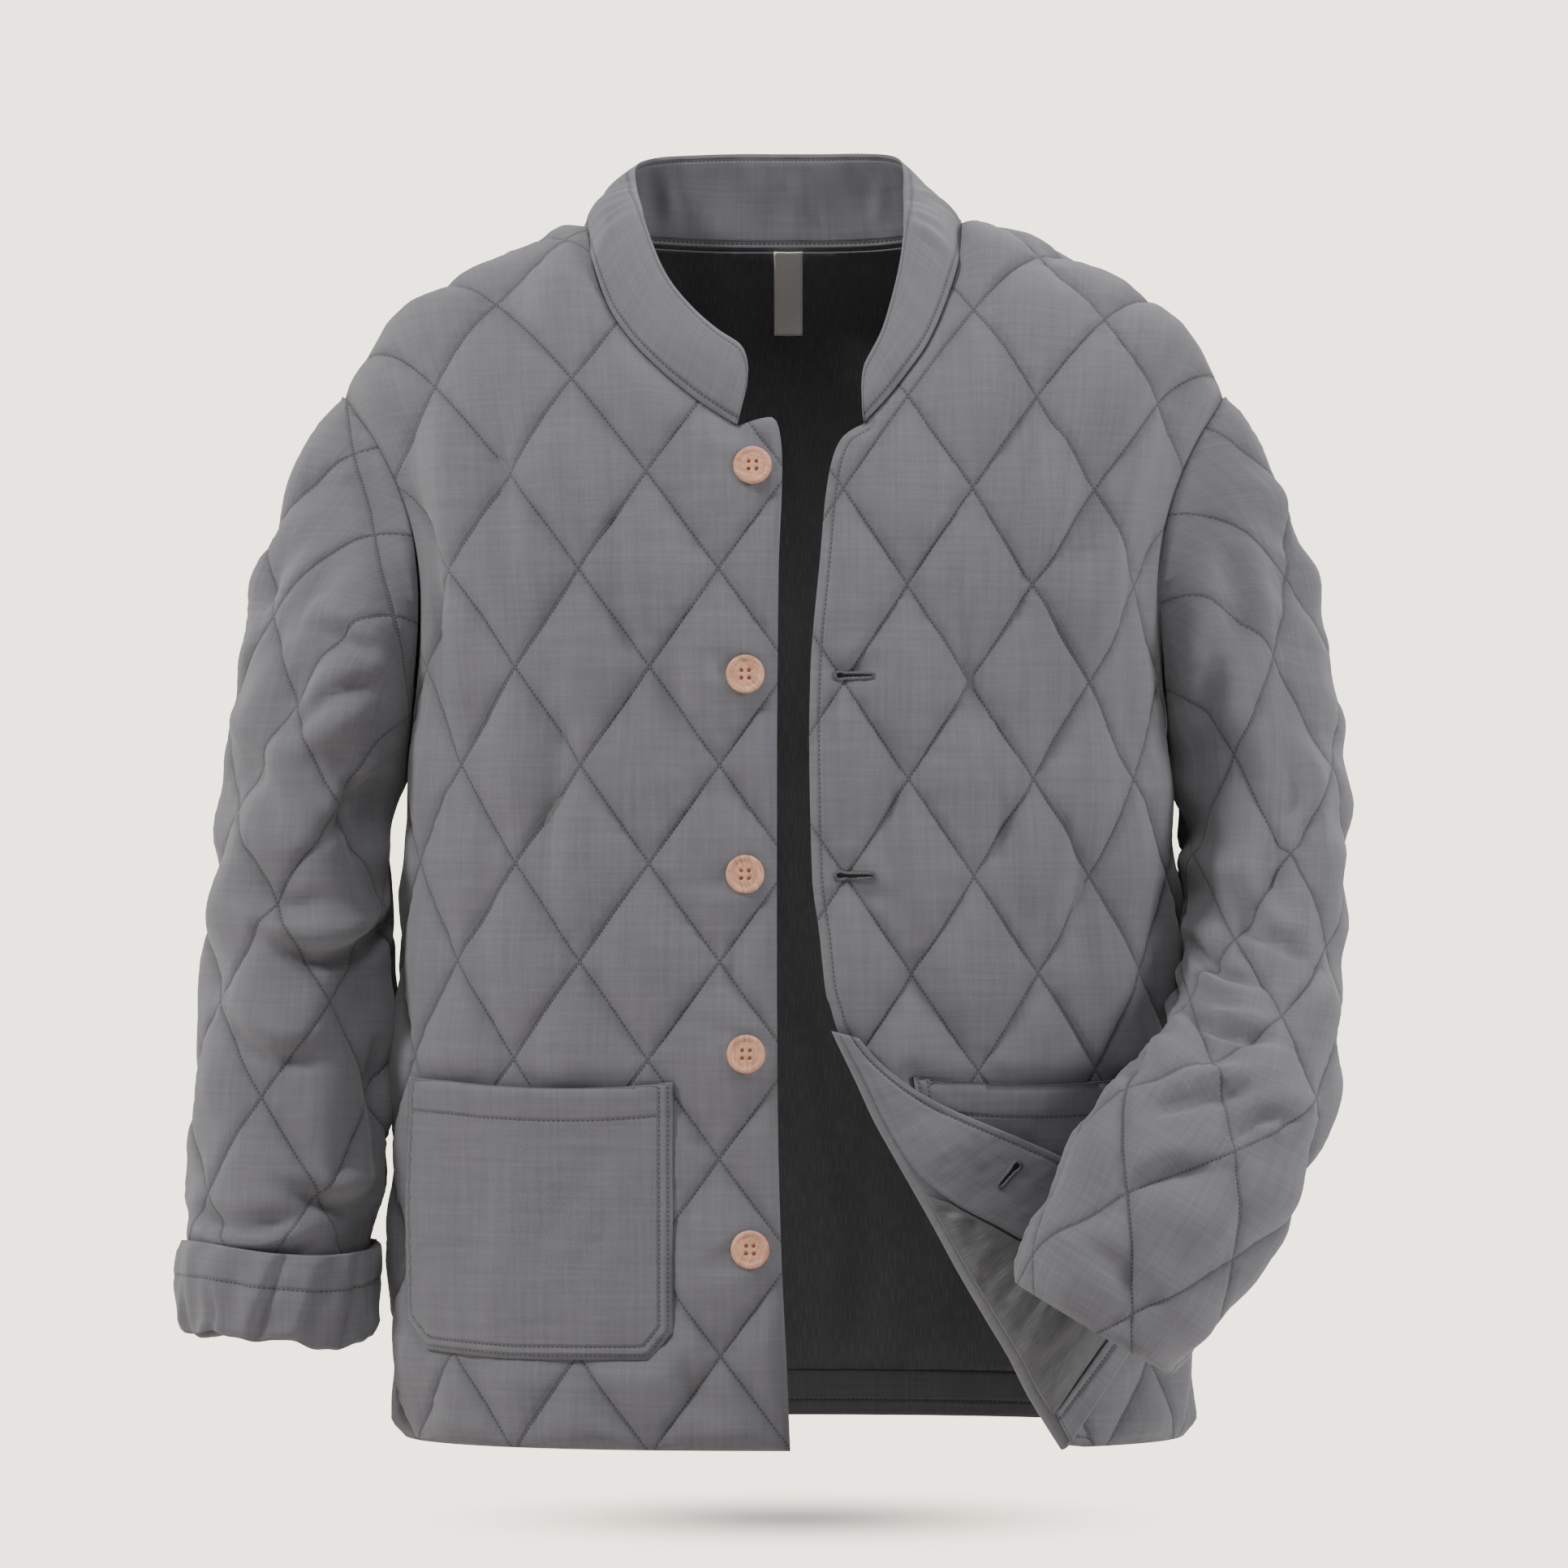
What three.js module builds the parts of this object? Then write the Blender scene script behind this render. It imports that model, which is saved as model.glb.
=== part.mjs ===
// Quilted jacket with a stand collar, worn open at the front, one lower corner turned outward.
// Millimetres, +Z up, the front faces -Y, +X is the wearer's left.
// The origin is the middle of the neck opening, level with the shoulder-neck points.
// Cloth coordinates: u runs round the body from the centre front, v runs up from the hem.
import * as THREE from "three";

const wall = 3.0;
const puff = 3.4;
const seamGap = 0.3;
const bodyLength = 710;
const chestLevel = -300;
const chestCloth = bodyLength + chestLevel;
const quarterCloth = 300;
const ridgeDepth = 12;
const ringPower = 2.5;
const columnPower = 2.4;
const ridgeSpread = 1.075;
const cellsPerDiamond = 4;
const buttonRadius = 11;
const buttonThickness = 3.6;

// Half sizes of the level rings of the body, hem to chest.
const bodyRings = [
  { z: -710, halfWidth: 229, front: 150, back: 148, shift: 6 },
  { z: -640, halfWidth: 231, front: 151, back: 150, shift: 5.5 },
  { z: -540, halfWidth: 229.5, front: 150, back: 149, shift: 4.5 },
  { z: -420, halfWidth: 225, front: 149, back: 147, shift: 4 },
  { z: -300, halfWidth: 221, front: 146, back: 144, shift: 3 },
];

// The shoulder ridge seen from the front: height against distance from the middle.
const ridge = [
  { x: 0, z: 0 },
  { x: 112, z: 0 },
  { x: 130, z: -8 },
  { x: 155, z: -19 },
  { x: 193, z: -38 },
  { x: 215, z: -50 },
  { x: 230, z: -61 },
  { x: 243, z: -78 },
  { x: 252, z: -91 },
  { x: 260, z: -105 },
  { x: 300, z: -150 },
  { x: 340, z: -180 },
];

// Armhole: cloth distance from the middle against cloth height above the chest ring.
const armhole = [
  { u: 300, up: 0 },
  { u: 284, up: 4 },
  { u: 268, up: 14 },
  { u: 255, up: 31 },
  { u: 245, up: 53 },
  { u: 239, up: 78 },
  { u: 236, up: 104 },
  { u: 235, up: 131 },
  { u: 236, up: 156 },
  { u: 238, up: 180 },
  { u: 240, up: 199 },
];
const shoulderTipCloth = 241;

// Neck seam and collar top edge, front edge to shoulder, button side (x below 0).
const neckButtonSide = [
  { x: -27, z: -125, topX: -17, topY: -117, topZ: -88 },
  { x: -36, z: -120, topX: -23, topY: -114, topZ: -80 },
  { x: -52, z: -109, topX: -39, topY: -107, topZ: -69 },
  { x: -68, z: -96, topX: -54, topY: -97, topZ: -55 },
  { x: -86, z: -78, topX: -67, topY: -82, topZ: -38 },
  { x: -101, z: -56, topX: -76, topY: -62, topZ: -18 },
  { x: -111, z: -28, topX: -83, topY: -36, topZ: 4 },
];
const neckButtonHoleSide = [
  { x: 46, z: -123, topX: 42, topY: -119, topZ: -98 },
  { x: 59, z: -109, topX: 48, topY: -110, topZ: -86 },
  { x: 70, z: -95, topX: 56, topY: -100, topZ: -70 },
  { x: 82, z: -78, topX: 62, topY: -84, topZ: -50 },
  { x: 92, z: -56, topX: 67, topY: -64, topZ: -28 },
  { x: 101, z: -28, topX: 70, topY: -38, topZ: -4 },
];
const neckBack = [
  { x: -108, z: -5, topX: -88, topY: 30, topZ: 34 },
  { x: -88, z: -9, topX: -76, topY: 44, topZ: 39 },
  { x: -60, z: -11, topX: -54, topY: 53, topZ: 41 },
  { x: -30, z: -12, topX: -28, topY: 57, topZ: 42 },
  { x: 0, z: -12, topX: -2, topY: 58, topZ: 42 },
  { x: 30, z: -12, topX: 25, topY: 57, topZ: 42 },
  { x: 58, z: -11, topX: 48, topY: 52, topZ: 42 },
  { x: 82, z: -8, topX: 65, topY: 42, topZ: 40 },
  { x: 98, z: -4, topX: 71, topY: 29, topZ: 34 },
];
const shoulderNeck = {
  buttonSide: { u: -109, topX: -88, topY: 4, topZ: 22 },
  holeSide: { u: 97, topX: 71, topY: 4, topZ: 18 },
};

// Front edges, hem upward to the neck seam.
const buttonEdge = [
  { x: -2, z: -585 },
  { x: -4, z: -462 },
  { x: -4, z: -335 },
  { x: -3, z: -208 },
  { x: -1, z: -148 },
  { x: -3, z: -126 },
  { x: -7, z: -120 },
];
const holeEdge = [
  { x: 24, z: -451 },
  { x: 20, z: -415 },
  { x: 16, z: -383 },
  { x: 15, z: -268 },
  { x: 21, z: -197 },
  { x: 24, z: -164 },
  { x: 28, z: -143 },
  { x: 34, z: -131 },
];

// The line along which the lower corner is folded outward, top to hem.
const foldLine = [
  { x: 26, z: -456 },
  { x: 31, z: -472 },
  { x: 44, z: -497 },
  { x: 54, z: -519 },
  { x: 66, z: -541 },
  { x: 86, z: -577 },
  { x: 101, z: -605 },
  { x: 118, z: -634 },
  { x: 130, z: -654 },
  { x: 140, z: -674 },
  { x: 150, z: -691 },
  { x: 160, z: -707 },
];
// The front edge after folding, from the start of the fold to the turned corner.
const turnedEdge = [
  { x: 30, z: -455 },
  { x: 38, z: -470 },
  { x: 53, z: -488 },
  { x: 67, z: -500 },
  { x: 86, z: -512 },
  { x: 110, z: -523 },
  { x: 133, z: -533 },
  { x: 159, z: -546 },
  { x: 180, z: -562 },
  { x: 198, z: -580 },
  { x: 210, z: -596 },
  { x: 219, z: -613 },
];
// Inner seam of the facing on the turned corner.
const facingSeam = [
  { x: 68, z: -541 },
  { x: 78, z: -557 },
  { x: 98, z: -572 },
  { x: 117, z: -582 },
  { x: 135, z: -592 },
  { x: 160, z: -602 },
  { x: 196, z: -622 },
];
const turnUpLine = [
  { x: 151, z: -688 },
  { x: 177, z: -652 },
  { x: 195, z: -628 },
];

// Patch pockets, cloth outline as seen from the front.
const pocketShape = [
  { x: 63, z: -500 },
  { x: 95, z: -503 },
  { x: 130, z: -504 },
  { x: 165, z: -503 },
  { x: 192, z: -501 },
  { x: 213, z: -500 },
  { x: 216, z: -572 },
  { x: 215, z: -640 },
  { x: 203, z: -656 },
  { x: 154, z: -659 },
  { x: 76, z: -658 },
  { x: 63, z: -642 },
];

// The pocket on the turned side ends where the front is folded.
const foldedPocketShape = [
  { x: 73, z: -497 },
  { x: 100, z: -500 },
  { x: 130, z: -502 },
  { x: 160, z: -502 },
  { x: 190, z: -500 },
  { x: 213, z: -498 },
  { x: 216, z: -560 },
  { x: 216, z: -640 },
  { x: 205, z: -656 },
  { x: 146, z: -658 },
  { x: 128, z: -630 },
  { x: 112, z: -602 },
  { x: 97, z: -574 },
  { x: 80, z: -543 },
];

const buttonPlaces = [
  { x: -18, z: -150 },
  { x: -22, z: -268 },
  { x: -22, z: -382 },
  { x: -21, z: -484 },
  { x: -19, z: -595 },
];

// Quilting: diamond size and where a crossing falls, in cloth coordinates.
const quilting = {
  buttonSide: { width: 79, height: 112, u: 0, v: -2 },
  holeSide: { width: 72, height: 111, u: 67, v: 49 },
  back: { width: 80, height: 112, u: 600, v: -2 },
  sleeves: { width: 80, height: 112, u: 0, v: 20 },
};

// Sleeve sections, cuff upward: outer and inner edge seen from the front, middle and half depth.
const hangingSleeve = [
  { outX: -345, outZ: -642, inX: -243, inZ: -642, midY: -34, halfY: 52 },
  { outX: -345, outZ: -600, inX: -242, inZ: -600, midY: -30, halfY: 55 },
  { outX: -344, outZ: -565, inX: -236, inZ: -565, midY: -24, halfY: 60 },
  { outX: -343, outZ: -525, inX: -233.5, inZ: -525, midY: -18, halfY: 64 },
  { outX: -340, outZ: -488, inX: -232.5, inZ: -488, midY: -13, halfY: 67 },
  { outX: -336, outZ: -450, inX: -231.5, inZ: -450, midY: -8, halfY: 70 },
  { outX: -333, outZ: -406, inX: -229.5, inZ: -406, midY: -3, halfY: 74 },
  { outX: -329, outZ: -367, inX: -230, inZ: -367, midY: 1, halfY: 78 },
];
const bentSleeve = [
  { outX: 219, outZ: -664, inX: 129, inZ: -611, midY: -192, halfY: 36 },
  { outX: 236, outZ: -642, inX: 140, inZ: -583, midY: -191, halfY: 38 },
  { outX: 252, outZ: -621, inX: 154, inZ: -560, midY: -187, halfY: 40 },
  { outX: 267, outZ: -600, inX: 165, inZ: -535, midY: -181, halfY: 42 },
  { outX: 280, outZ: -582, inX: 175, inZ: -516, midY: -172, halfY: 45 },
  { outX: 294, outZ: -556, inX: 190, inZ: -499, midY: -158, halfY: 48 },
  { outX: 305, outZ: -530, inX: 206, inZ: -484, midY: -138, halfY: 51 },
  { outX: 313, outZ: -500, inX: 218, inZ: -472, midY: -112, halfY: 55 },
  { outX: 318, outZ: -462, inX: 229, inZ: -448, midY: -72, halfY: 60 },
  { outX: 323, outZ: -415, inX: 233, inZ: -410, midY: -32, halfY: 68 },
  { outX: 326, outZ: -367, inX: 233, inZ: -367, midY: -6, halfY: 76 },
];
const sleeveHalfCloth = 190;

const greyCloth = new THREE.MeshStandardMaterial({ color: 0x7c7b81, roughness: 0.95 });
const darkLining = new THREE.MeshStandardMaterial({ color: 0x3a3a3d, roughness: 0.6 });
const wood = new THREE.MeshStandardMaterial({ color: 0xb57c64, roughness: 0.5 });
const paleTape = new THREE.MeshStandardMaterial({ color: 0xc8c4c0, roughness: 0.8 });

// Small vector and table helpers.

function add(a, b, scale = 1) {
  return [a[0] + b[0] * scale, a[1] + b[1] * scale, a[2] + b[2] * scale];
}

function subtract(a, b) {
  return [a[0] - b[0], a[1] - b[1], a[2] - b[2]];
}

function cross(a, b) {
  return [a[1] * b[2] - a[2] * b[1], a[2] * b[0] - a[0] * b[2], a[0] * b[1] - a[1] * b[0]];
}

function dot(a, b) {
  return a[0] * b[0] + a[1] * b[1] + a[2] * b[2];
}

function unit(a) {
  const length = Math.hypot(a[0], a[1], a[2]) || 1;
  return [a[0] / length, a[1] / length, a[2] / length];
}

function mix(a, b, t) {
  return a + (b - a) * t;
}

function mixPoint(a, b, t) {
  return [mix(a[0], b[0], t), mix(a[1], b[1], t), mix(a[2], b[2], t)];
}

function clamp(value, low, high) {
  return Math.min(high, Math.max(low, value));
}

function rowAt(table, key, value) {
  let k = 0;
  while (k < table.length - 2 && value > table[k + 1][key]) {
    k += 1;
  }
  const a = table[k];
  const b = table[k + 1];
  const t = clamp((value - a[key]) / (b[key] - a[key]), 0, 1);
  const row = {};
  for (const name of Object.keys(a)) {
    row[name] = mix(a[name], b[name], t);
  }
  return row;
}

// Body surface.

const quarterTable = makeQuarterTable();

function makeQuarterTable() {
  const steps = 240;
  const table = [];
  let length = 0;
  let last = null;
  for (let k = 0; k <= steps; k += 1) {
    const angle = (Math.PI / 2) * (k / steps);
    const x = 226 * Math.pow(Math.sin(angle), 2 / ringPower);
    const y = 148 * Math.pow(Math.max(0, Math.cos(angle)), 2 / ringPower);
    if (last) {
      length += Math.hypot(x - last[0], y - last[1]);
    }
    last = [x, y];
    table.push({ length, angle });
  }
  return table.map((row) => ({ part: row.length / length, angle: row.angle }));
}

function ringPoint(u, z) {
  const ring = rowAt(bodyRings, "z", z);
  const side = u < 0 ? -1 : 1;
  const around = Math.abs(u);
  const onFront = around <= quarterCloth;
  const part = (onFront ? around : 2 * quarterCloth - around) / quarterCloth;
  const signed = Math.abs(part);
  const angle = rowAt(quarterTable, "part", clamp(signed, 0, 1)).angle;
  const flip = part < 0 ? -1 : 1;
  const reach = Math.pow(Math.sin(angle), 2 / ringPower) * ring.halfWidth * side * flip;
  const depth = Math.pow(Math.max(0, Math.cos(angle)), 2 / ringPower);
  return [ring.shift + reach, onFront ? -depth * ring.front : depth * ring.back, z];
}

const columns = new Map();

function columnAt(u) {
  const key = u.toFixed(3);
  if (columns.has(key)) {
    return columns.get(key);
  }
  const base = ringPoint(u, chestLevel);
  const around = Math.abs(u);
  const fromMiddle = around <= quarterCloth ? around : 2 * quarterCloth - around;
  const side = u < 0 ? -1 : 1;
  const topX = side * fromMiddle * ridgeSpread;
  const topZ = rowAt(ridge, "x", Math.abs(topX)).z;
  const steps = 36;
  const points = [];
  let length = 0;
  for (let k = 0; k <= steps; k += 1) {
    const angle = (Math.PI / 2) * (k / steps);
    const rise = Math.pow(Math.sin(angle), 2 / columnPower);
    const lean = Math.pow(Math.max(0, Math.cos(angle)), 2 / columnPower);
    const point = [
      base[0] + (topX - base[0]) * rise * rise,
      ridgeDepth + (base[1] - ridgeDepth) * lean,
      chestLevel + (topZ - chestLevel) * rise,
    ];
    if (k > 0) {
      length += Math.hypot(...subtract(point, points[k - 1].point));
    }
    points.push({ length, point });
  }
  const column = { points, length };
  columns.set(key, column);
  return column;
}

function plainPoint(u, v) {
  if (v <= chestCloth) {
    return ringPoint(u, v - bodyLength);
  }
  const column = columnAt(u);
  const along = clamp(v - chestCloth, 0, column.length);
  let k = 0;
  while (k < column.points.length - 2 && along > column.points[k + 1].length) {
    k += 1;
  }
  const a = column.points[k];
  const b = column.points[k + 1];
  return mixPoint(a.point, b.point, (along - a.length) / (b.length - a.length || 1));
}

function topCloth(u) {
  return chestCloth + columnAt(u).length;
}

function normalOf(surface, u, v, top) {
  const step = 2;
  const high = Math.min(v + step, top);
  const across = subtract(surface(u + step, Math.min(v, top)), surface(u - step, Math.min(v, top)));
  const upward = subtract(surface(u, high), surface(u, high - 2 * step));
  return unit(cross(across, upward));
}

// Soft upright drape folds beside the armholes, and slack waves lower down.
function drape(u, v) {
  const around = Math.abs(u);
  const onFront = around <= quarterCloth;
  const fromMiddle = onFront ? around : 2 * quarterCloth - around;
  const rise = v - chestCloth;
  const window = Math.exp(-Math.pow((rise - 95) / 85, 2));
  const trough = Math.exp(-Math.pow((fromMiddle - 224) / 15, 2));
  const bulge = Math.exp(-Math.pow((fromMiddle - 196) / 20, 2));
  const amount = onFront ? 1 : 0.6;
  const slack = 1.6 * Math.sin(u / 47 + 1.1) * Math.sin(v / 130 + 0.4);
  return amount * window * (5 * bulge - 9 * trough) + slack;
}

function bodyPoint(u, v) {
  const top = topCloth(u);
  const base = plainPoint(u, v);
  const normal = normalOf(plainPoint, u, v, top - 0.01);
  const ease = clamp((top - v) / 40, 0, 1);
  return add(base, normal, drape(u, v) * ease);
}

// Along the shoulder ridge front and back share one upright direction.
function bodyNormal(u, v) {
  const top = topCloth(u);
  if (top - v < 1.5) {
    const across = subtract(plainPoint(u + 2, topCloth(u + 2)), plainPoint(u - 2, topCloth(u - 2)));
    return unit(cross(across, [0, Math.abs(u) <= quarterCloth ? 1 : -1, 0]));
  }
  return normalOf(bodyPoint, u, v, top - 0.01);
}

// Cloth coordinates of the point seen at x, z from the front or the back.
function clothAt(x, z, onFront = true) {
  const side = x < 0 ? -1 : 1;
  let low = 0;
  let high = 0.985 * quarterCloth;
  const signed = (w) => side * (onFront ? w : 2 * quarterCloth - w);
  const heightFor = (u) => {
    if (z <= chestLevel) {
      return z + bodyLength;
    }
    let a = chestCloth;
    let b = topCloth(u);
    for (let k = 0; k < 26; k += 1) {
      const middle = (a + b) / 2;
      if (plainPoint(u, middle)[2] < z) {
        a = middle;
      } else {
        b = middle;
      }
    }
    return (a + b) / 2;
  };
  for (let k = 0; k < 26; k += 1) {
    const middle = (low + high) / 2;
    const u = signed(middle);
    if (Math.abs(plainPoint(u, heightFor(u))[0]) < Math.abs(x)) {
      low = middle;
    } else {
      high = middle;
    }
  }
  const u = signed((low + high) / 2);
  return [u, heightFor(u)];
}

function quiltHeight(u, v, lattice) {
  const a = (u - lattice.u) / lattice.width;
  const b = (v - lattice.v) / lattice.height;
  const rise = Math.abs(Math.sin(Math.PI * (a + b)) * Math.sin(Math.PI * (a - b)));
  return puff * Math.pow(rise, 0.6);
}

// Flat outlines and their triangles.

function inside(polygon, point) {
  let within = false;
  for (let i = 0, j = polygon.length - 1; i < polygon.length; j = i, i += 1) {
    const a = polygon[i];
    const b = polygon[j];
    const crosses = a[1] > point[1] !== b[1] > point[1];
    if (crosses && point[0] < ((b[0] - a[0]) * (point[1] - a[1])) / (b[1] - a[1]) + a[0]) {
      within = !within;
    }
  }
  return within;
}

function signedArea(polygon) {
  let sum = 0;
  for (let i = 0; i < polygon.length; i += 1) {
    const a = polygon[i];
    const b = polygon[(i + 1) % polygon.length];
    sum += a[0] * b[1] - b[0] * a[1];
  }
  return sum / 2;
}

function distanceToPolygon(polygon, point, scale) {
  let best = Infinity;
  for (let i = 0; i < polygon.length; i += 1) {
    const a = [polygon[i][0] / scale[0], polygon[i][1] / scale[1]];
    const next = polygon[(i + 1) % polygon.length];
    const b = [next[0] / scale[0], next[1] / scale[1]];
    const p = [point[0] / scale[0], point[1] / scale[1]];
    const run = [b[0] - a[0], b[1] - a[1]];
    const size = run[0] * run[0] + run[1] * run[1] || 1;
    const t = clamp(((p[0] - a[0]) * run[0] + (p[1] - a[1]) * run[1]) / size, 0, 1);
    best = Math.min(best, Math.hypot(p[0] - a[0] - run[0] * t, p[1] - a[1] - run[1] * t));
  }
  return best;
}

function polyline(points, spacing) {
  const result = [];
  for (let i = 0; i < points.length - 1; i += 1) {
    const a = points[i];
    const b = points[i + 1];
    const parts = Math.max(1, Math.ceil(Math.hypot(b[0] - a[0], b[1] - a[1]) / spacing));
    for (let k = 0; k < parts; k += 1) {
      result.push([mix(a[0], b[0], k / parts), mix(a[1], b[1], k / parts)]);
    }
  }
  return result;
}

function latticePoints(outline, lattice, stepU, stepV, blockers, coarseBelow = chestCloth) {
  const scale = [lattice.width / cellsPerDiamond, lattice.height / cellsPerDiamond];
  const us = outline.map((p) => p[0]);
  const vs = outline.map((p) => p[1]);
  const points = [];
  const firstU = Math.ceil((Math.min(...us) - lattice.u) / scale[0]);
  const lastU = Math.floor((Math.max(...us) - lattice.u) / scale[0]);
  const firstV = Math.ceil((Math.min(...vs) - lattice.v) / scale[1]);
  const lastV = Math.floor((Math.max(...vs) - lattice.v) / scale[1]);
  for (let i = firstU; i <= lastU; i += 1) {
    for (let j = firstV; j <= lastV; j += 1) {
      const point = [lattice.u + i * scale[0], lattice.v + j * scale[1]];
      const skipped = point[1] < coarseBelow && ((j % stepV) + stepV) % stepV;
      if (((i % stepU) + stepU) % stepU || skipped) {
        continue;
      }
      const clear = [outline, ...blockers].every((line) => distanceToPolygon(line, point, scale) > 0.47);
      if (clear && inside(outline, point)) {
        points.push(point);
      }
    }
  }
  return points;
}

function circumcircle(points, a, b, c) {
  const [ax, ay] = points[a];
  const [bx, by] = points[b];
  const [cx, cy] = points[c];
  const d = 2 * (ax * (by - cy) + bx * (cy - ay) + cx * (ay - by));
  const aa = ax * ax + ay * ay;
  const bb = bx * bx + by * by;
  const cc = cx * cx + cy * cy;
  const x = (aa * (by - cy) + bb * (cy - ay) + cc * (ay - by)) / d;
  const y = (aa * (cx - bx) + bb * (ax - cx) + cc * (bx - ax)) / d;
  return { a, b, c, x, y, r: (ax - x) * (ax - x) + (ay - y) * (ay - y) };
}

function triangulate(flat, scale) {
  const count = flat.length;
  const points = flat.map((p) => [
    p[0] / scale[0] + 1e-5 * Math.sin(p[0] * 12.9898 + p[1] * 3.7),
    p[1] / scale[1] + 1e-5 * Math.sin(p[0] * 5.1 + p[1] * 78.233 + 1),
  ]);
  points.push([-900, -700], [900, -700], [0, 1400]);
  let triangles = [circumcircle(points, count, count + 1, count + 2)];
  for (let k = 0; k < count; k += 1) {
    const [x, y] = points[k];
    const edges = new Map();
    const kept = [];
    for (const t of triangles) {
      if ((x - t.x) * (x - t.x) + (y - t.y) * (y - t.y) >= t.r) {
        kept.push(t);
        continue;
      }
      for (const [p, q] of [[t.a, t.b], [t.b, t.c], [t.c, t.a]]) {
        const reverse = `${q},${p}`;
        if (edges.has(reverse)) {
          edges.delete(reverse);
        } else {
          edges.set(`${p},${q}`, [p, q]);
        }
      }
    }
    for (const [p, q] of edges.values()) {
      kept.push(circumcircle(points, p, q, k));
    }
    triangles = kept;
  }
  return triangles.filter((t) => t.a < count && t.b < count && t.c < count).map((t) => [t.a, t.b, t.c]);
}

// Turn the diagonals of near-square pairs so that they follow the quilting lines.
function followLines(flat, triangles, scale, height) {
  const owners = new Map();
  triangles.forEach((t, index) => {
    for (let k = 0; k < 3; k += 1) {
      owners.set(`${t[k]},${t[(k + 1) % 3]}`, index);
    }
  });
  const done = new Set();
  triangles.forEach((t, index) => {
    for (let k = 0; k < 3; k += 1) {
      const p = t[k];
      const q = t[(k + 1) % 3];
      const other = owners.get(`${q},${p}`);
      if (other === undefined || done.has(index) || done.has(other) || p > q) {
        continue;
      }
      const r = t[(k + 2) % 3];
      const s = triangles[other].find((n) => n !== p && n !== q);
      const span = (m, n) => Math.hypot((flat[m][0] - flat[n][0]) / scale[0], (flat[m][1] - flat[n][1]) / scale[1]);
      const ratio = span(p, q) / span(r, s);
      if (ratio < 0.97 || ratio > 1.03 || span(p, q) > 1.5) {
        continue;
      }
      const middle = (m, n) => height((flat[m][0] + flat[n][0]) / 2, (flat[m][1] + flat[n][1]) / 2);
      if (middle(r, s) < middle(p, q) - 1e-6) {
        triangles[index] = [r, p, s];
        triangles[other] = [s, q, r];
      }
      done.add(index);
      done.add(other);
    }
  });
  return triangles;
}

function flatMesh(outline, inner, scale, height) {
  const flat = [...outline, ...inner];
  let triangles = triangulate(flat, scale).filter((t) => {
    const middle = [0, 1].map((k) => (flat[t[0]][k] + flat[t[1]][k] + flat[t[2]][k]) / 3);
    return inside(outline, middle);
  });
  const edges = new Set();
  for (const t of triangles) {
    for (let k = 0; k < 3; k += 1) {
      edges.add(`${t[k]},${t[(k + 1) % 3]}`);
    }
  }
  for (let k = 0; k < outline.length; k += 1) {
    if (!edges.has(`${k},${(k + 1) % outline.length}`)) {
      throw new Error(`an outline edge is missing near ${outline[k].map((n) => n.toFixed(1))}`);
    }
  }
  if (height) {
    triangles = followLines(flat, triangles, scale, height);
  }
  return { flat, triangles };
}

// Closed meshes.

class Solid {
  constructor() {
    this.corners = [];
    this.faces = [];
    this.lookup = new Map();
  }

  corner(point) {
    const key = point.map((n) => Math.round(n * 200)).join(",");
    if (!this.lookup.has(key)) {
      this.lookup.set(key, this.corners.length);
      this.corners.push(point);
    }
    return this.lookup.get(key);
  }

  face(a, b, c) {
    const face = [this.corner(a), this.corner(b), this.corner(c)];
    if (face[0] !== face[1] && face[1] !== face[2] && face[2] !== face[0]) {
      this.faces.push(face);
    }
  }

  quad(a, b, c, d) {
    this.face(a, b, c);
    this.face(a, c, d);
  }

  mesh(name, material) {
    const geometry = new THREE.BufferGeometry();
    geometry.setAttribute("position", new THREE.Float32BufferAttribute(this.corners.flat(), 3));
    geometry.setIndex(this.faces.flat());
    geometry.computeVertexNormals();
    const mesh = new THREE.Mesh(geometry, material);
    mesh.name = name;
    return mesh;
  }
}

// Edge points are drawn back so that neighbours stand a seam gap apart.
function edgeInset(outline, k, surface, normal) {
  const count = outline.length;
  const before = outline[(k + count - 1) % count];
  const after = outline[(k + 1) % count];
  const along = subtract(surface(after[0], after[1]), surface(before[0], before[1]));
  return unit(cross(along, normal));
}

function panelSolid(options) {
  const { outline, outerInner, innerInner, scale, surface, normalAt, raise, sink, height } = options;
  const welded = options.welded || (() => false);
  const inset = options.inset === undefined ? seamGap / 2 : options.inset;
  const outer = flatMesh(outline, outerInner, scale, height);
  const inner = flatMesh(outline, innerInner, scale, null);
  const count = outline.length;
  const place = (flat, offset) => flat.map((p, k) => {
    const point = surface(p[0], p[1]);
    const normal = normalAt(p[0], p[1]);
    const lifted = add(point, normal, offset(p[0], p[1], k < count));
    if (k >= count || welded(k)) {
      return lifted;
    }
    return add(lifted, edgeInset(outline, k, surface, normal), -inset);
  });
  const outerPoints = place(outer.flat, raise);
  const innerPoints = place(inner.flat, sink);
  if (options.edges) {
    options.edges(outerPoints, innerPoints, count);
  }
  const solid = new Solid();
  for (const t of outer.triangles) {
    solid.face(outerPoints[t[0]], outerPoints[t[1]], outerPoints[t[2]]);
  }
  for (const t of inner.triangles) {
    solid.face(innerPoints[t[2]], innerPoints[t[1]], innerPoints[t[0]]);
  }
  for (let k = 0; k < count; k += 1) {
    const next = (k + 1) % count;
    if (welded(k) && welded(next) && !options.open(k, next)) {
      continue;
    }
    solid.quad(outerPoints[next], outerPoints[k], innerPoints[k], innerPoints[next]);
  }
  solid.outer = outer.triangles.map((t) => t.map((n) => outerPoints[n]));
  return solid;
}

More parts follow.
